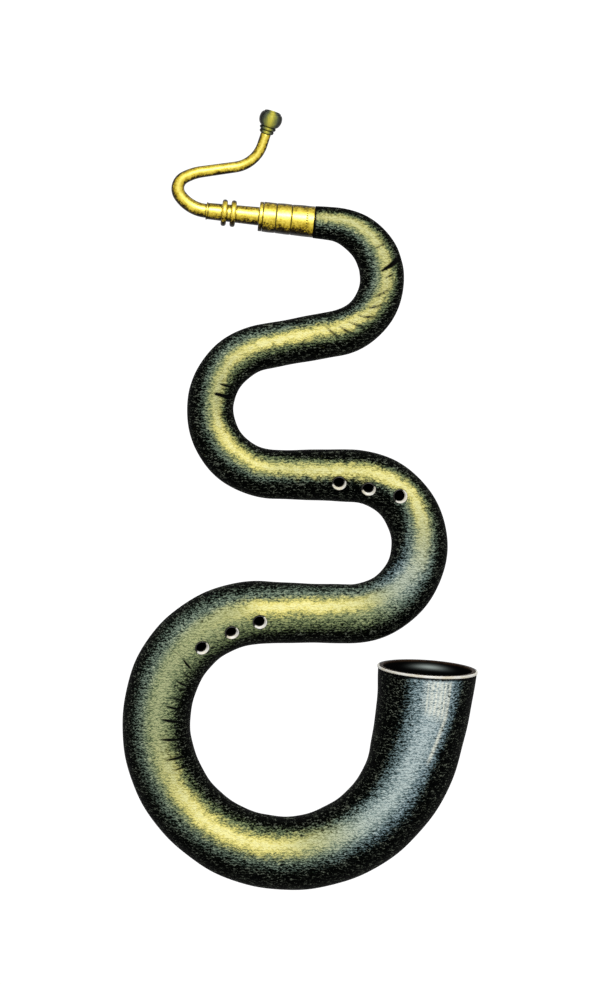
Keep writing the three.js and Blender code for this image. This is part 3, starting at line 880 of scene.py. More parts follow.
@dataclass
class WoundBody:
    """The wooden tube: two carved halves, four leather sleeves, six bushings and the bell's hoop.

    Shares tell how far a place lies along the leather, from 0 at the ferrule to 1 at the lip; those of the
    seams and holes count from the line's own start. Leans are degrees off the front (or back) towards the
    in-plane normal.
    """

    heading: float = -6.0
    peg_offset: float = 78.0
    throat_diameter: float = 38.5
    bell_diameter: float = 119.5
    leather_thickness: float = 1.6
    leather_round: float = 0.4
    throat_wall: float = 6.6
    bell_wall: float = 4.2
    wood_round: float = 1.2
    bore_at_throat: float = 11.0
    ferrule: NeckFerrule = NeckFerrule()
    stretches: tuple[Stretch, ...] = (
        run(88), bow(67, -163.5), run(89), bow(78, 168.5), run(92),
        bow(84, -180), run(102), bow(124, 69), bow(157, 188.5), bow(645, 9.5),
    )
    # How much of its growth from the throat to the bell the leather has done
    growth_shares: Shares = (
        (0, 0), (0.014, 0.035), (0.033, 0.11), (0.055, 0.17), (0.09, 0.188), (0.171, 0.2), (0.239, 0.225),
        (0.307, 0.26), (0.375, 0.315), (0.477, 0.385), (0.539, 0.42), (0.6, 0.495), (0.682, 0.54),
        (0.784, 0.59), (0.852, 0.665), (0.92, 0.8), (1, 1),
    )
    seam_shares: tuple[float, ...] = (0.0925, 0.2476, 0.6398)
    # How blue-grey the leather is
    bloom_shares: Shares = (
        (0, 0.1), (0.4, 0.15), (0.45, 0.6), (0.49, 0.1), (0.64, 0.1), (0.83, 0.15), (0.89, 0.75), (1, 1),
    )
    # Lean of the middle of the painted highlight band, which follows the key light
    light_band_leans: Shares = (
        (0, 26), (0.03, 23), (0.06, 12), (0.11, -20), (0.19, -14), (0.22, 4), (0.28, 24), (0.36, 21), (0.39, 26),
        (0.42, 7), (0.47, -18), (0.53, -19), (0.58, -6), (0.69, 0), (0.81, 18), (0.92, 6), (0.97, -9), (1, -12),
    )
    # Half its breadth, in degrees
    light_band_halves: Shares = (
        (0, 23), (0.06, 28), (0.11, 24), (0.17, 26), (0.19, 31), (0.22, 24), (0.28, 24), (0.36, 18), (0.42, 27),
        (0.47, 34), (0.56, 32), (0.6, 38), (0.67, 29), (0.89, 23), (1, 28),
    )
    # How strong the painted yellow highlight is, in five streaks, and how far its middle leans off the band's
    highlight_strengths: Shares = (
        (0, 0.45), (0.08, 0.55), (0.11, 0.9), (0.17, 0.95), (0.22, 0.3), (0.25, 0.9), (0.28, 1), (0.31, 0.65),
        (0.39, 0.85), (0.42, 0.3), (0.47, 0.1), (0.5, 0.75), (0.56, 1), (0.58, 0.3), (0.64, 0), (0.69, 0.1),
        (0.75, 0.95), (0.81, 0.9), (0.84, 0.3), (0.89, 0), (1, 0),
    )
    highlight_leans: Shares = (
        (0, 3), (0.06, 6), (0.11, -1), (0.25, 6), (0.33, -4), (0.44, 5), (0.47, -8), (0.53, -3), (0.61, -10),
        (0.67, 11), (0.78, 0), (0.86, 7), (1, 0),
    )
    highlight_half: float = 16.5
    # Each crease's distance along the body, first lean, last lean, slant, depth and width
    bend_creases: tuple[tuple[float, ...], ...] = (
        (145, -2, 52, 3, 0.45, 1.6), (173, -4, 72, -8, 0.95, 2.6), (182, 4, 36, -4, 0.5, 1.5),
        (438, 0, 50, -4, 0.7, 1.8), (451, -2, 56, 0, 0.95, 2.6), (479, 16, 50, 0, 0.5, 1.8),
        (1170, 4, 34, 6, 0.75, 1.6), (1186, 18, 46, 2, 0.5, 1.5), (1199, 12, 46, 3, 0.6, 1.7),
        (1209, 22, 46, -2, 0.5, 1.4), (1222, 16, 46, 2, 0.6, 1.6), (1234, 8, 46, 4, 0.65, 1.8),
        (1252, 4, 48, 4, 0.8, 2.0), (1263, 22, 46, 1, 0.5, 1.5), (1277, 2, 48, 5, 0.8, 2.0),
        (1291, 20, 46, 2, 0.5, 1.6), (1304, 6, 48, 4, 0.75, 1.9), (1320, 14, 46, 2, 0.6, 1.6),
    )
    # Small slanting puckers follow each other down the first bend: the first one, their steps and their number
    pucker: Crease = Crease(192, 26, -22, 17, 0.44, 3.4)
    pucker_step: float = 16.5
    pucker_turn: float = -3.0
    pucker_count: int = 6
    # How strongly painted shade darkens the creases
    crease_shade: float = 1.5
    # How fine the leather's grid is: rings along the outside, across a crease and inside, and points round it
    ring_step: float = 2.4
    crease_step: float = 0.8
    lining_step: float = 9.0
    sleeve_columns: int = 176
    carving_fade: float = 14.0
    # The same for the walnut, which has close rings below the lip
    shell_step: float = 4.0
    lip_step: float = 1.0
    lip_length: float = 24.0
    shell_columns: int = 49
    bushing_diameter: float = 17.2
    bushing_bore: float = 12.4
    bushing_offset: float = 1.6
    bushing_rim: float = 1.0
    bushing_hollow: float = 3.4
    bushing_proud: float = 0.4
    bar_foot: float = 2.0
    bar_tip: float = 0.01
    roll_height: float = 0.45
    roll_out: float = 2.6
    roll_width: float = 1.3
    dip_depth: float = 0.5
    dip_fade: float = 2.2
    hole_shares: tuple[float, ...] = (0.3694, 0.3899, 0.4106, 0.5802, 0.6011, 0.6252)
    hole_leans: tuple[float, ...] = (-7, -13.5, 7, 8, 18.5, 15.5)
    hole_hollows: tuple[float, ...] = (-75, -72, -35, -45, -45, -45)
    hoop_height: float = 3.2
    hoop_proud: float = 0.7
    line: BentLine = field(init=False)

    def __post_init__(self) -> None:
        """Lays the line so that the display peg's seat, under the neck, is at the origin."""
        self.line = BentLine(0, 0, self.heading, self.stretches)
        x, _, z = self.line.around(self.peg_offset, np.pi, self.leather_radius(self.peg_offset))
        self.line = BentLine(-x, -z, self.heading, self.stretches)

    def share(self, s: Array) -> Array:
        """How far a distance lies along the leather, from 0 at the ferrule to 1 at the lip."""
        return np.clip((s - self.ferrule.length) / (self.line.length - self.ferrule.length), 0, 1)

    def leather_radius(self, s: Array) -> Array:
        """Outer radius of the leather: the throat's, plus the growth that the share table gives."""
        growth = read_shares(self.growth_shares, self.share(s))
        return (self.throat_diameter + (self.bell_diameter - self.throat_diameter) * growth) / 2

    def wood_radius(self, s: Array) -> Array:
        """Outer radius of the walnut: under the leather, or under the ferrule's cone before it."""
        under_leather = self.leather_radius(s) - self.leather_thickness - CLEARANCE
        under_ferrule = self.ferrule.radius(s) - self.ferrule.wall - 2 * CLEARANCE
        return np.where(s > self.ferrule.length, under_leather, under_ferrule)

    def bore_radius(self, s: Array) -> Array:
        """Radius of the bore: the walnut's, less a wall that thins from the neck to the lip."""
        wall = self.throat_wall + (self.bell_wall - self.throat_wall) * self.share(s)
        within = np.maximum(self.wood_radius(s) - wall, self.bore_at_throat)
        return np.where(s > self.ferrule.length, within, self.bore_at_throat)

    def creases(self) -> list[Crease]:
        """The creases of the bends, and the row of puckers."""
        first, found = self.pucker, [Crease(*row) for row in self.bend_creases]
        for i in range(self.pucker_count):
            start, end = (lean + self.pucker_turn * i for lean in (first.start, first.end))
            found.append(replace(first, at=first.at + self.pucker_step * i, start=start, end=end))
        return found

    def hand_carving(self, s: Array, angle: Array) -> Array:
        """The unevenness of a tube carved by hand, in millimetres: three slow waves along and round it."""
        slow = 0.34 * np.sin(2 * np.pi * s / 131 + 0.7) * np.cos(2 * angle + 0.4)
        middle = 0.24 * np.sin(2 * np.pi * s / 83 + 2.1) * np.cos(3 * angle - 1.1)
        quick = 0.16 * np.sin(2 * np.pi * s / 47 + 4.0 + 2 * angle)
        return slow + middle + quick

    def hole_at(self, index: int) -> float:
        """How far along the line a finger hole lies; the one nearest the neck has index 0."""
        return self.hole_shares[index] * self.line.length

    def hole_place(self, index: int) -> tuple[Array, Array, Array, Array, Array]:
        """A finger hole's centre and its own axes.

        Args:
            index: which hole.

        Returns:
            The centre on the line, and unit vectors along the line, out of the hole, across both, and to the
            side that is hollowed for the fingertip.
        """
        x, z, heading = self.line.at(self.hole_at(index))
        lean, turn = np.radians(self.hole_leans[index]), np.radians(self.hole_hollows[index])
        normal = np.array([-np.sin(heading), 0, np.cos(heading)])
        out = np.array([0, -np.cos(lean), 0]) + normal * np.sin(lean)
        along = np.array([np.cos(heading), 0, np.sin(heading)])
        hollow = np.array([np.cos(turn), 0, np.sin(turn)])
        hollow = hollow - out * (hollow @ out)
        return np.array([x, 0, z]), along, out, np.cross(along, out), hollow / np.linalg.norm(hollow)

    def cut_seats(self, mesh: Mesh, holes: Sequence[int]) -> Mesh:
        """Cuts the bushings' seats through the front wall with round bars, closed by a small disc at each end.

        Args:
            mesh: a closed mesh of the wall.
            holes: the finger holes to cut.

        Returns:
            The cut mesh.
        """
        bars = []
        seat = self.bushing_diameter / 2 + CLEARANCE
        angle = full_turn(96)[..., None]
        for index in holes:
            centre, along, out, across, hollow = self.hole_place(index)
            reach = self.leather_radius(self.hole_at(index)) + 2 * self.bushing_hollow
            ring = np.cos(angle) * along + np.sin(angle) * across
            height = np.array([self.bar_foot, self.bar_foot, reach, reach])[:, None, None]
            size = np.array([self.bar_tip, seat, seat, self.bar_tip])[:, None, None]
            points = centre + hollow * self.bushing_offset + out * height + ring * size
            bars.append(make_mesh(f"hole_bar_{index + 1}", points, {}))
        return cut_away(mesh, bars)

    def hole_relief(self, points: Array) -> Array:
        """How the leather is drawn down at the bushings: a dip at the edge of each and a low roll outside that.

        The roll is a bell curve of the distance from the bushing's own axis.

        Args:
            points: points of the surface, with a last axis of three.

        Returns:
            What is added to the radius.
        """
        total = np.zeros(points.shape[:-1])
        edge = self.bushing_diameter / 2
        for index in range(len(self.hole_shares)):
            centre, _, out, _, hollow = self.hole_place(index)
            offset = points - centre - hollow * self.bushing_offset
            depth = offset @ out
            r = np.linalg.norm(offset - depth[..., None] * out, axis=-1)
            roll = self.roll_height * bell_curve(r - edge - self.roll_out, self.roll_width)
            dip = self.dip_depth * smooth(edge + self.dip_fade, edge, r)
            total += np.where(depth > 0, roll - dip, 0)
        return total

    def surface_values(self, s: Array, angle: Array) -> dict[str, Array]:
        """What the leather's finish reads, all from 0 to 1.

        The band, painted highlight and shade, is 1 in the middle of the painted highlight band and 0.56 at its
        edge. Past the edge it falls faster, the most on the outer side near the lip. The leather is darker next to
        both ends, and painted shade darkens the creases.

        Args:
            s: distances along the body.
            angle: angles round it.

        Returns:
            Numbers for each attribute name.
        """
        share = self.share(s)
        offset = np.degrees(off_band(angle, np.radians(read_shares(self.light_band_leans, share))))
        strength = read_shares(self.highlight_strengths, share)
        half = read_shares(self.light_band_halves, share) * (1 + 0.12 * strength)
        outer_fall = 0.15 + 1.3 * smooth(0.9, 0.95, share)
        beyond = np.maximum(np.abs(offset) - half, 0) * np.where(offset > 0, 0.6, outer_fall)
        yellow_highlight = 1 - 0.5 * np.abs(offset - read_shares(self.highlight_leans, share)) / self.highlight_half
        # Darker next to the hoop and the ferrule, and painted shade in the creases
        hoop_gap = self.line.length - self.hoop_height - s
        ferrule_gap = s - self.ferrule.length
        crease = np.maximum(0.85 * smooth(5, 0.5, hoop_gap), 0.8 * smooth(5, 1, ferrule_gap))
        for item in self.creases():
            crease = np.maximum(crease, np.minimum(1, item.weight(s, angle) * item.depth * self.crease_shade))
        return {
            "band": np.clip(1 - 0.44 * (np.abs(offset) + beyond) / half, 0, 1),
            "yellow_highlight": np.clip(yellow_highlight, 0, 1),
            "highlight_strength": strength,
            "bloom": np.clip(read_shares(self.bloom_shares, share) + 0.35 * smooth(8, 35, -offset), 0, 1),
            "highlight_streak": self.highlight_streaks(s, angle),
            "crease": crease,
        }

    def highlight_streaks(self, s: Array, angle: Array) -> Array:
        """Painted highlight streaks below the lip: a row of short ones, and a long one that runs on from the
        outermost.

        The short streaks are the crests of a cosine of the lean, 5.2 degrees apart, over 44 to 62 mm. The long
        one starts at their outer end, 28 degrees off the front, and leans back by 10 degrees over 57 mm.

        Args:
            s: distances along the body.
            angle: angles round it.

        Returns:
            Numbers that are 1 in the middle of a streak.
        """
        lean = np.degrees(off_band(angle, np.zeros_like(angle)))
        inwards, gap = lean + 28, self.line.length - s
        short = (0.6 + 0.5 * np.cos(2 * np.pi * inwards / 5.2)) * smooth(-3, 0, inwards) * smooth(6, -6, lean)
        short = short * smooth(62, 44, gap + 0.3 * inwards) * smooth(5, 10, gap)
        long = bell_curve(inwards - 10 * (gap - 48) / 57, 2.0) * smooth(40, 50, gap) * smooth(112, 95, gap)
        return np.maximum(short, long)

    def sleeve_rows(self, start: float, end: float) -> Array:
        """Distances of a sleeve's rings: even steps, close ones at its ends and across its creases."""
        rounding = self.leather_round * np.array([0, 0.06, 0.25, 0.55, 1])
        rows = [np.arange(start, end, self.ring_step), start + rounding, end - rounding]
        rows += [crease.rows(self.crease_step) for crease in self.creases()]
        found = np.unique(np.round(np.concatenate(rows), 3))
        found = found[(found >= start) & (found <= end)]
        return found[np.concatenate([[True], np.diff(found) > 0.02])]

    def sleeve(self, name: str, start: float, end: float) -> Mesh:
        """One leather sleeve as a closed skin, with the bushings' seats cut through it.

        Args:
            name: the mesh's name.
            start: where it starts along the body.
            end: where it ends.

        Returns:
            The mesh with the leather's attributes.
        """
        outer = self.sleeve_rows(start, end)
        inner = np.linspace(end, start, max(int((end - start) / self.lining_step), 2))
        drop = round_over(np.minimum(outer - start, end - outer), self.leather_round)
        radii = [self.leather_radius(outer) - drop, self.leather_radius(inner) - self.leather_thickness]
        profile = np.column_stack([np.concatenate([outer, inner]), np.concatenate(radii)])
        columns = self.sleeve_columns
        s, angle = profile[:, :1], full_turn(columns)
        fade = smooth(0, self.carving_fade, np.minimum(s - start, end - s))
        relief = self.hand_carving(s, angle) * fade
        relief = relief + self.hole_relief(self.line.around(s, angle, profile[:, 1:]))
        for crease in self.creases():
            relief = relief - crease.depth * crease.weight(s, angle)
        relief = np.where(np.arange(len(profile))[:, None] < len(outer), relief, 0)
        holes = [index for index in range(len(self.hole_shares)) if start < self.hole_at(index) < end]
        values = self.surface_values(s, angle)
        if not holes:
            return sweep(name, self.line, profile, columns, relief, **values)
        whole = sweep(name, self.line, profile, columns, relief, kept=1, **values)
        return self.refill(self.cut_seats(whole, holes))

    def refill(self, mesh: Mesh) -> Mesh:
        """Gives the vertices that a cut has made, which aren't marked as kept, the values of their places.

        Args:
            mesh: a sleeve that has been cut.

        Returns:
            The same mesh, without the marks.
        """
        new = read_value(mesh, "kept") < 0.999
        co = np.zeros(len(mesh.vertices) * 3, np.float32)
        mesh.vertices.foreach_get("co", co)
        s, angle = self.line.locate(co.reshape(-1, 3)[new] / MM)
        for key, value in self.surface_values(s, angle).items():
            whole = read_value(mesh, key)
            whole[new] = value
            write_value(mesh, key, whole)
        mesh.attributes.remove(mesh.attributes["kept"])
        return mesh

    def half_shell(self, name: str, middle: float) -> Mesh:
        """One carved half: a half ring of walnut swept from the ferrule's cap to the lip of the bell.

        Each section goes round the outside from one edge of the joint to the other and back along the bore.
        The bore is nearly black, but for a painted highlight on the far wall below the lip.

        Args:
            name: the mesh's name.
            middle: the angle of the half's middle, front or back.

        Returns:
            A closed mesh with attributes for the dark bore and the painted highlight.
        """
        length, rounding = self.line.length, self.wood_round
        arc = np.linspace(middle - np.pi / 2, middle + np.pi / 2, self.shell_columns)
        edge_rows = length - rounding * np.array([1, 0.6, 0.3, 0.1, 0])
        coarse = np.arange(self.ferrule.ring_width + CLEARANCE, length - self.lip_length, self.shell_step)
        fine = np.arange(length - self.lip_length, length - 1.5, self.lip_step)
        rows = np.concatenate([coarse, fine, edge_rows])
        lip = round_over(length - rows, rounding)
        radii = np.column_stack([self.wood_radius(rows) - lip, self.bore_radius(rows) + lip])
        s, angle = rows[:, None], np.concatenate([arc, arc[::-1]])[None, :]
        points = self.line.around(s, angle, np.repeat(radii, len(arc), 1))
        points[..., 1] += np.sign(np.sin(middle)) * CLEARANCE / 2
        count, columns = points.shape[:2]
        i = np.arange(len(arc) - 1)
        cap = np.stack([i, columns - 1 - i, columns - 2 - i, i + 1], 1)
        quads = np.vstack([grid_faces(count, columns, wrap_rows=False), cap, cap[:, ::-1] + (count - 1) * columns])
        dark_bore = np.repeat([[0.0, 1.0]], len(arc), 1) * smooth(0, 3, length - s)
        # Painted highlight: a pale patch on the far wall of the bore, below the lip
        painted_bore_highlight = 0.85 * bell_curve(angle - BACK - 0.06, 0.30) * bell_curve(length - s - 7.5, 2.4) * (dark_bore > 0)
        return make_mesh(name, points, {"dark_bore": dark_bore, "painted_bore_highlight": painted_bore_highlight}, quads)

    def bushing(self, name: str, index: int) -> Mesh:
        """A finger hole's bushing, rounded over at its mouth to follow the leather.

        Each row is a circle of its own radius whose centre lies off the bore's axis to the hollowed side. At
        the mouth its height is that of the crown, sqrt(round^2 - across^2), less the row's own depth. The first
        and the last row are the ends of the bore and of the outside, down in the wood.

        Args:
            name: the mesh's name.
            index: which hole.

        Returns:
            A closed mesh with an attribute of painted shade.
        """
        place = self.hole_at(index)
        centre, along, out, across, hollow = self.hole_place(index)
        bore, body, offset = self.bushing_bore / 2, self.bushing_diameter / 2, self.bushing_offset
        mouth = body - self.bushing_rim
        t = np.linspace(0, 1, 9)
        dish = self.bushing_hollow * (1 - t) ** 1.3
        rim, rim_drop = np.array([(0.12, -0.1), (0.4, -0.12), (0.7, 0.0), (0.9, 0.25), (1.0, 0.6)]).T
        radius = np.concatenate([[bore], bore + (mouth - bore) * t, mouth + (body - mouth) * rim, [body]])
        shift = np.concatenate([[0], offset * t, np.full(len(rim) + 1, offset)])
        depth = np.concatenate([[0], dish, rim_drop, [0]])[:, None]
        fixed = np.concatenate([[1], np.zeros(len(t) + len(rim)), [1]])[:, None]
        angle = full_turn(72)[..., None]
        circle = (np.cos(angle) * along + np.sin(angle) * across) * radius[:, None, None]
        flat = circle + hollow * shift[:, None, None]
        crown = np.sqrt((self.leather_radius(place) + self.bushing_proud) ** 2 - (flat @ across) ** 2)
        height = np.where(fixed > 0, self.bore_radius(place) + 1, crown - depth)
        buried = smooth(0.5, 1.0, depth / self.bushing_hollow)
        # Painted shade: dark down the bore, deep in the dish and on the side away from the hollow
        grime = np.maximum(np.maximum(fixed, buried), smooth(0.35, -0.25, flat @ hollow / body))
        return make_mesh(name, centre + flat + out * height[..., None], {"grime": grime})

    def hoop(self, name: str) -> Mesh:
        """The bell's hoop: a ring round the lip, with rounded edges, and painted shade at its foot and far inside.
        """
        start, end = self.line.length - self.hoop_height, self.line.length
        outer, inner = self.leather_radius(end) + self.hoop_proud, self.wood_radius(end) + CLEARANCE
        profile = densify(soften(ring_corners(start, end, outer, inner), rounding=1.0), step=1.0)
        s, columns = profile[:, :1], 180
        # Painted shade at the foot, next to the leather, and on the far side inside the bell
        foot = 0.5 * smooth(0.9, 0, np.abs(s - start))
        inside = smooth(end - 1.2, end - 0.2, s) + (profile[:, 1:] < outer - 1.2)
        far = smooth(-0.1, 0.35, np.sin(full_turn(columns))) * np.clip(inside, 0, 1)
        return sweep(name, self.line, profile, columns, grime=np.maximum(foot, far))

    def build(self, bench: Bench) -> None:
        """Makes every piece of the body and puts it in place."""
        indexes = range(len(self.hole_shares))
        front = self.cut_seats(self.half_shell("carved_front_half", FRONT), indexes)
        bench.add(front, "body_half_front", Slot.WALNUT)
        bench.add(self.half_shell("carved_back_half", BACK), "body_half_back", Slot.WALNUT)
        seams = np.array(self.seam_shares) * self.line.length
        starts = [self.ferrule.length + CLEARANCE, *(seams + CLEARANCE / 2)]
        ends = [*(seams - CLEARANCE / 2), self.line.length - self.hoop_height - CLEARANCE]
        for part, start, end in zip(("neck", "upper", "middle", "bell"), starts, ends):
            bench.add(self.sleeve(f"{part}_leather", start, end), f"leather_{part}", Slot.LEATHER)
        for index in indexes:
            mesh = self.bushing(f"hole_bushing_{index + 1}", index)
            bench.add(mesh, f"finger_bushing_{index + 1}", Slot.BONE)
        bench.add(self.hoop("lip_hoop"), "bell_hoop", Slot.BONE)


@dataclass(frozen=True)
class Winding:
    """Waxed thread wound in a helix on a fit, as one skin whose outside rises and falls with the thread."""

    start: float
    length: float
    thickness: float
    turns: int
    grip: float = 0.05

    def mesh(self, name: str, line: BentLine, origin: float, diameter: float) -> Mesh:
        """Winds the thread: radius = inner + thickness (0.45 + 0.55 sqrt(|sin(pi (turns done - angle / 2 pi))|)).

        Args:
            name: the mesh's name.
            line: the line it is wound round.
            origin: where along the line its start is counted from.
            diameter: of the piece it is wound on.

        Returns:
            A closed mesh with a crown attribute, which is 1 on top of the thread.
        """
        start, inner = origin + self.start, diameter / 2 + self.grip
        thickness = self.thickness + CLEARANCE - self.grip
        corners = ring_corners(start, start + self.length, inner + thickness, inner)
        profile = densify(soften(corners, rounding=0.15), step=self.length / self.turns / 9)
        columns = 60
        done = (profile[:, :1] - start) * self.turns / self.length
        wave = np.sqrt(np.abs(np.sin(np.pi * (done - full_turn(columns) / (2 * np.pi)))))
        outside = smooth(0.3, 0.9, (profile[:, 1:] - inner) / thickness)
        relief = -0.55 * thickness * (1 - wave) * outside
        return sweep(name, line, profile, columns, relief, crown=wave * outside)


@dataclass
class Crook:
    """The brass crook: a straight sleeve with its tenon, two collars and the bent tube.

    Distances below zero lie outside the socket.
    """

    sleeve_length: float = 63.5
    large_diameter: float = 22.2
    small_diameter: float = 19.8
    bead_height: float = 0.6
    bead_width: float = 1.8
    tenon_length: float = 40.0
    tenon_diameter: float = 15.6
    tenon_wall: float = 1.0
    seat_depth: float = 14.0
    collar_diameter: float = 32.2
    collar_width: float = 6.4
    collar_foot: float = 1.4
    collar_offsets: tuple[float, ...] = (31.0, 41.8)
    winding: Winding = Winding(start=4.0, length=32.0, thickness=0.65, turns=34)
    tube_large_diameter: float = 17.0
    tube_small_diameter: float = 12.4
    tube_wall: float = 1.0
    tube_flattening: float = 0.16
    taper_shares: Shares = ((0, 0), (0.2, 0.1), (0.4, 0.45), (0.5, 0.62), (0.75, 0.8), (1, 1))
    stretches: tuple[Stretch, ...] = (
        run(14), bow(43, -50), bow(15, -95), bow(61, -21), run(40.4), bow(40, 64), run(14),
    )

    def sleeve_radius(self, distance: float) -> float:
        """The sleeve's cone, at a distance out of the socket."""
        share = distance / self.sleeve_length
        return (self.large_diameter + (self.small_diameter - self.large_diameter) * share) / 2

    def sleeve(self, line: BentLine) -> Mesh:
        """The sleeve and its tenon, turned in one, with painted shade beside the collars, the bead and the socket.
        """
        tenon, end = self.tenon_diameter / 2, -self.sleeve_length
        seat = self.tube_large_diameter / 2 + CLEARANCE
        rim = self.sleeve_radius(self.sleeve_length)
        corners = [
            (self.tenon_length, tenon),
            (-CLEARANCE, tenon),
            (-CLEARANCE, self.sleeve_radius(0)),
            (end + self.bead_width, rim),
            (end + self.bead_width * 0.8, rim + self.bead_height),
            (end, rim + self.bead_height),
            (end, seat),
            (end + self.seat_depth, seat),
            (end + self.seat_depth, tenon - self.tenon_wall),
            (self.tenon_length, tenon - self.tenon_wall),
        ]
        profile = densify(soften(corners, rounding=0.5), step=1.6)
        s, half = profile[:, :1], self.collar_width / 2
        # Painted shade beside the bead, the socket and the collars
        beside_bead = 0.9 * bell_curve(s - end - self.bead_width - 0.4, 0.7)
        crease = np.maximum(beside_bead, 0.8 * bell_curve(s + CLEARANCE, 0.9))
        for offset in self.collar_offsets:
            crease = np.maximum(crease, smooth(half + 1.1, half, np.abs(s + offset)))
        return sweep("sleeve_and_tenon", line, profile, columns=144, painted_lit=True, crease=crease)

    def collar(self, name: str, line: BentLine, offset: float) -> Mesh:
        """A collar: a ring whose section is an arch, foot + rise sin(t)^0.62, which makes its shoulders full."""
        half, outer = self.collar_width / 2, self.collar_diameter / 2
        inner = self.sleeve_radius(offset - half) + CLEARANCE
        foot = inner + self.collar_foot
        t = np.linspace(0, np.pi, 25)
        over = np.column_stack([-offset - half * np.cos(t), foot + (outer - foot) * np.sin(t) ** 0.62])
        profile = np.vstack([[(-offset - half, inner)], over, [(-offset + half, inner)]])
        # Painted shade near the collar's foot
        near_edge = smooth(0.42, 0, (profile[:, 1:] - inner) / (outer - inner))
        return sweep(name, line, profile, columns=144, painted_lit=True, crease=near_edge)

    def tube_line(self, line: BentLine) -> BentLine:
        """The bent tube's own line, which starts at its seat in the sleeve and runs away from the socket."""
        x, z, heading = line.at(-self.sleeve_length + self.seat_depth - CLEARANCE)
        return BentLine(x, z, np.degrees(heading) + 180, self.stretches)

    def tube(self, own: BentLine) -> Mesh:
        """The bent tube, a little flattened where it was bent, with a burnished lip at its tip."""
        length, lip = own.length, 0.4
        at = [[0], np.arange(lip, length - lip, 1.1), [length], np.linspace(length - lip, lip, 70)]
        s = np.concatenate(at)[:, None]
        inset = np.repeat([lip, 0, 0.35, self.tube_wall], [len(part) for part in at])[:, None]
        taper = read_shares(self.taper_shares, s / length)
        large, small = self.tube_large_diameter, self.tube_small_diameter
        profile = np.column_stack([s, (large + (small - large) * taper) / 2 - inset])
        columns = 80
        bends = smooth(14, 40, s) * smooth(length - 14, length - 40, s)
        relief = -self.tube_flattening * np.cos(2 * full_turn(columns)) * bends
        # Painted shade where the tube goes into the sleeve
        crease = 0.9 * bell_curve(s - self.seat_depth - 0.2, 1.0)
        return sweep("bent_tube", own, profile, columns, relief, painted_lit=True, crease=crease)

    def build(self, line: BentLine, bench: Bench) -> BentLine:
        """Makes the crook's pieces and puts them in place.

        Args:
            line: the body's line, whose first run is the socket's axis.
            bench: where the pieces are added.

        Returns:
            The bent tube's line, which the mouthpiece goes on.
        """
        bench.add(self.sleeve(line), "crook_sleeve", Slot.BRASS, Body.CROOK)
        for number, offset in enumerate(self.collar_offsets, 1):
            collar = self.collar(f"raised_collar_{number}", line, offset)
            bench.add(collar, f"crook_collar_{number}", Slot.BRASS, Body.CROOK)
        thread = self.winding.mesh("tenon_winding", line, 0.0, self.tenon_diameter)
        bench.add(thread, "tenon_lapping", Slot.THREAD, Body.TENON_THREAD)
        own = self.tube_line(line)
        bench.add(self.tube(own), "crook_tube", Slot.BRASS, Body.CROOK)
        return own


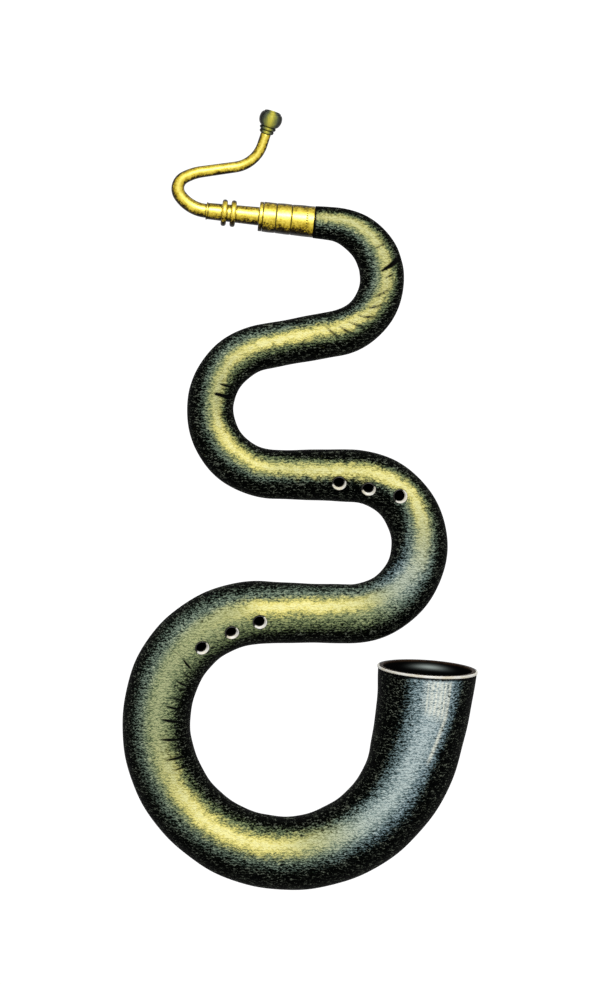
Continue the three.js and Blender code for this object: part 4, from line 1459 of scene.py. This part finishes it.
@dataclass
class Mouthpiece:
    """The turned horn cup on two beads, with the shank that plugs into the crook and its thread."""

    cup_diameter: float = 27.6
    rim_diameter: float = 20.8
    cup_height: float = 18.4
    waist_share: float = 0.52
    cup_bore: float = 15.8
    cup_depth: float = 13.0
    rim_round: float = 1.8
    throat_bore: float = 6.0
    foot_diameter: float = 16.0
    bead_diameters: tuple[float, ...] = (17.4, 20.0)
    bead_heights: tuple[float, ...] = (4.6, 4.2)
    bead_grooves: tuple[float, ...] = (12.8, 14.6)
    shank_length: float = 15.0
    shank_diameter: float = 8.2
    winding: Winding = Winding(start=-12.0, length=10.0, thickness=0.6, turns=12)

    def profile(self) -> Array:
        """The whole outline, from the shank's end up the outside, over the rim and down the inside.

        The beads are half ellipses, the bowl a quarter ellipse below its waist and another above it, the rim
        half an ellipse and the cup's inside a quarter ellipse.
        """
        shank, throat = self.shank_diameter / 2, self.throat_bore / 2
        foot, widest, rim_inner = self.foot_diameter / 2, self.cup_diameter / 2, self.cup_bore / 2
        rim_outer, rim_end, base = self.rim_diameter / 2, -self.shank_length, CLEARANCE
        parts = [((rim_end, rim_end + 0.4, CLEARANCE), (shank - 0.3, shank, shank))]
        half, quarter = np.linspace(0, np.pi, 17), np.linspace(0, np.pi / 2, 22)
        for diameter, height, groove in zip(self.bead_diameters, self.bead_heights, self.bead_grooves):
            rise = (diameter - groove) / 2 * np.sin(half) ** 0.8
            parts.append((base + height * (1 - np.cos(half)) / 2, groove / 2 + rise))
            base += height
        waist = base + self.cup_height * self.waist_share
        shoulder = base + self.cup_height - self.rim_round
        rim_width, bowl_depth = rim_outer - rim_inner, self.cup_depth - self.rim_round
        on, over = quarter[1:], half[1:]  # without the point that the part before has
        parts += [
            (base + (waist - base) * (1 - np.cos(quarter)), foot + (widest - foot) * np.sin(quarter)),
            (waist + (shoulder - waist) * np.sin(on), rim_outer + (widest - rim_outer) * np.cos(on)),
            (shoulder + self.rim_round * np.sin(over), rim_inner + rim_width * (1 + np.cos(over)) / 2),
            (shoulder - bowl_depth * np.sin(on), throat + (rim_inner - throat) * np.cos(on)),
            ([rim_end], [throat]),
        ]
        return np.vstack([np.column_stack(part) for part in parts])

    def build(self, tube: BentLine, bench: Bench) -> None:
        """Makes the cup and its thread and puts them on the crook's tip."""
        profile = densify(self.profile(), step=1.2)
        grooves = CLEARANCE + sum_before(np.array([*self.bead_heights, 0.0]))
        d = profile[:, :1]
        # Painted shade in the grooves between the beads and down inside the cup
        crease = np.max([0.9 * bell_curve(d - groove, 0.8) for groove in grooves], axis=0)
        deep = 0.8 * smooth(self.cup_bore / 2, self.throat_bore / 2, profile[:, 1:])
        inside = (np.arange(len(profile))[:, None] > len(profile) * 0.62) & (d > grooves[-1])
        crease = np.maximum(crease, np.where(inside, deep, 0))
        profile = profile + np.array([tube.length, 0])
        cup = sweep("turned_cup", tube, profile, columns=112, painted_lit=True, crease=crease)
        bench.add(cup, "mouthpiece", Slot.HORN, Body.MOUTHPIECE)
        thread = self.winding.mesh("shank_winding", tube, tube.length, self.shank_diameter)
        bench.add(thread, "mouthpiece_wrap", Slot.THREAD, Body.SHANK_THREAD)


@dataclass
class Studio:
    """Plain soft light, a pale floor and the camera at the picture's angle.

    One pixel of the picture, which is picture_height pixels high, is pixel millimetres on the horn.
    """

    pixel: float = 1.2
    picture_height: int = 985
    elevation: float = 8.8
    aim: tuple[float, float] = (-26.3, -306.8)
    distance: float = 28000.0
    view_end: float = 120000.0
    sensor: float = 36.0
    floor_drop: float = 300.0
    floor_size: float = 60000.0
    floor_colour: Colour = (0.55, 0.55, 0.55)
    floor_glow: float = 0.7
    key_elevation: float = 38.0
    key_turn: float = 10.0
    key_spread: float = 26.0
    key_strength: float = 2.45
    room_light: float = 0.25

    def camera(self) -> None:
        """A long lens at the picture's angle, which frames the picture's height at the horn."""
        data = bpy.data.cameras.new("picture_camera")
        data.sensor_width = self.sensor
        data.lens = self.sensor * self.distance / (self.pixel * self.picture_height)
        data.clip_end = self.view_end * MM
        back = direction(0.0, self.elevation)
        camera = add_object("picture_camera", data)
        camera.location = Vector((self.aim[0], 0.0, self.aim[1])) * MM + back * self.distance * MM
        camera.rotation_euler = back.to_track_quat("Z", "Y").to_euler()
        bpy.context.scene.camera = camera

    def floor(self) -> None:
        """A pale floor under the hanging horn, which keeps its shadow."""
        level, half = cad_box[0][2] / MM - self.floor_drop, self.floor_size / 2
        corners = np.array([(x * half, y * half, level) for x, y in ((-1, -1), (1, -1), (1, 1), (-1, 1))])
        mesh = bpy.data.meshes.new("floor")
        mesh.from_pydata((corners * MM).tolist(), [], [(0, 1, 2, 3)])
        shader = Shader("pale_floor")
        glow = shader.math("MULTIPLY", shader.seen(), self.floor_glow)
        shader.settle(Base_Color=self.floor_colour, Roughness=1.0, Specular_IOR_Level=0.0)
        shader.settle(Emission_Color=EVEN, Emission_Strength=glow)
        mesh.materials.append(shader.material)
        floor = add_object("floor", mesh)

    def world(self) -> None:
        """White where the camera or a reflection looks, and a low even light for everything else."""
        world = bpy.data.worlds.new("studio")
        world.use_nodes = True
        bpy.context.scene.world = world
        nodes = Nodes(world.node_tree)
        inputs = {"Value": nodes.seen(), "To Min": self.room_light, "To Max": 1.0}
        background = nodes.tree.nodes["Background"].inputs
        nodes.feed(background["Strength"], nodes.node("MapRange", inputs).outputs["Result"])
        nodes.feed(background["Color"], EVEN)

    def key(self) -> None:
        """A broad soft light from the front, above and a little to the right."""
        data = bpy.data.lights.new("key", "SUN")
        data.energy = self.key_strength
        data.angle = np.radians(self.key_spread)
        towards = direction(self.key_turn, self.key_elevation)
        add_object("key", data).rotation_euler = towards.to_track_quat("Z", "Y").to_euler()

    def build(self) -> None:
        """Sets the view transform, and makes the camera, the floor and the lights."""
        bpy.context.scene.view_settings.view_transform = "Standard"
        self.camera()
        self.floor()
        self.world()
        self.key()


def main() -> None:
    logging.basicConfig(level=logging.INFO, format="%(name)s: %(message)s")
    Studio().build()
    bench = Bench()
    body = WoundBody()
    body.build(bench)
    body.ferrule.build(body.line, bench)
    tube_line = Crook().build(body.line, bench)
    Mouthpiece().build(tube_line, bench)


if __name__ == "__main__":
    main()
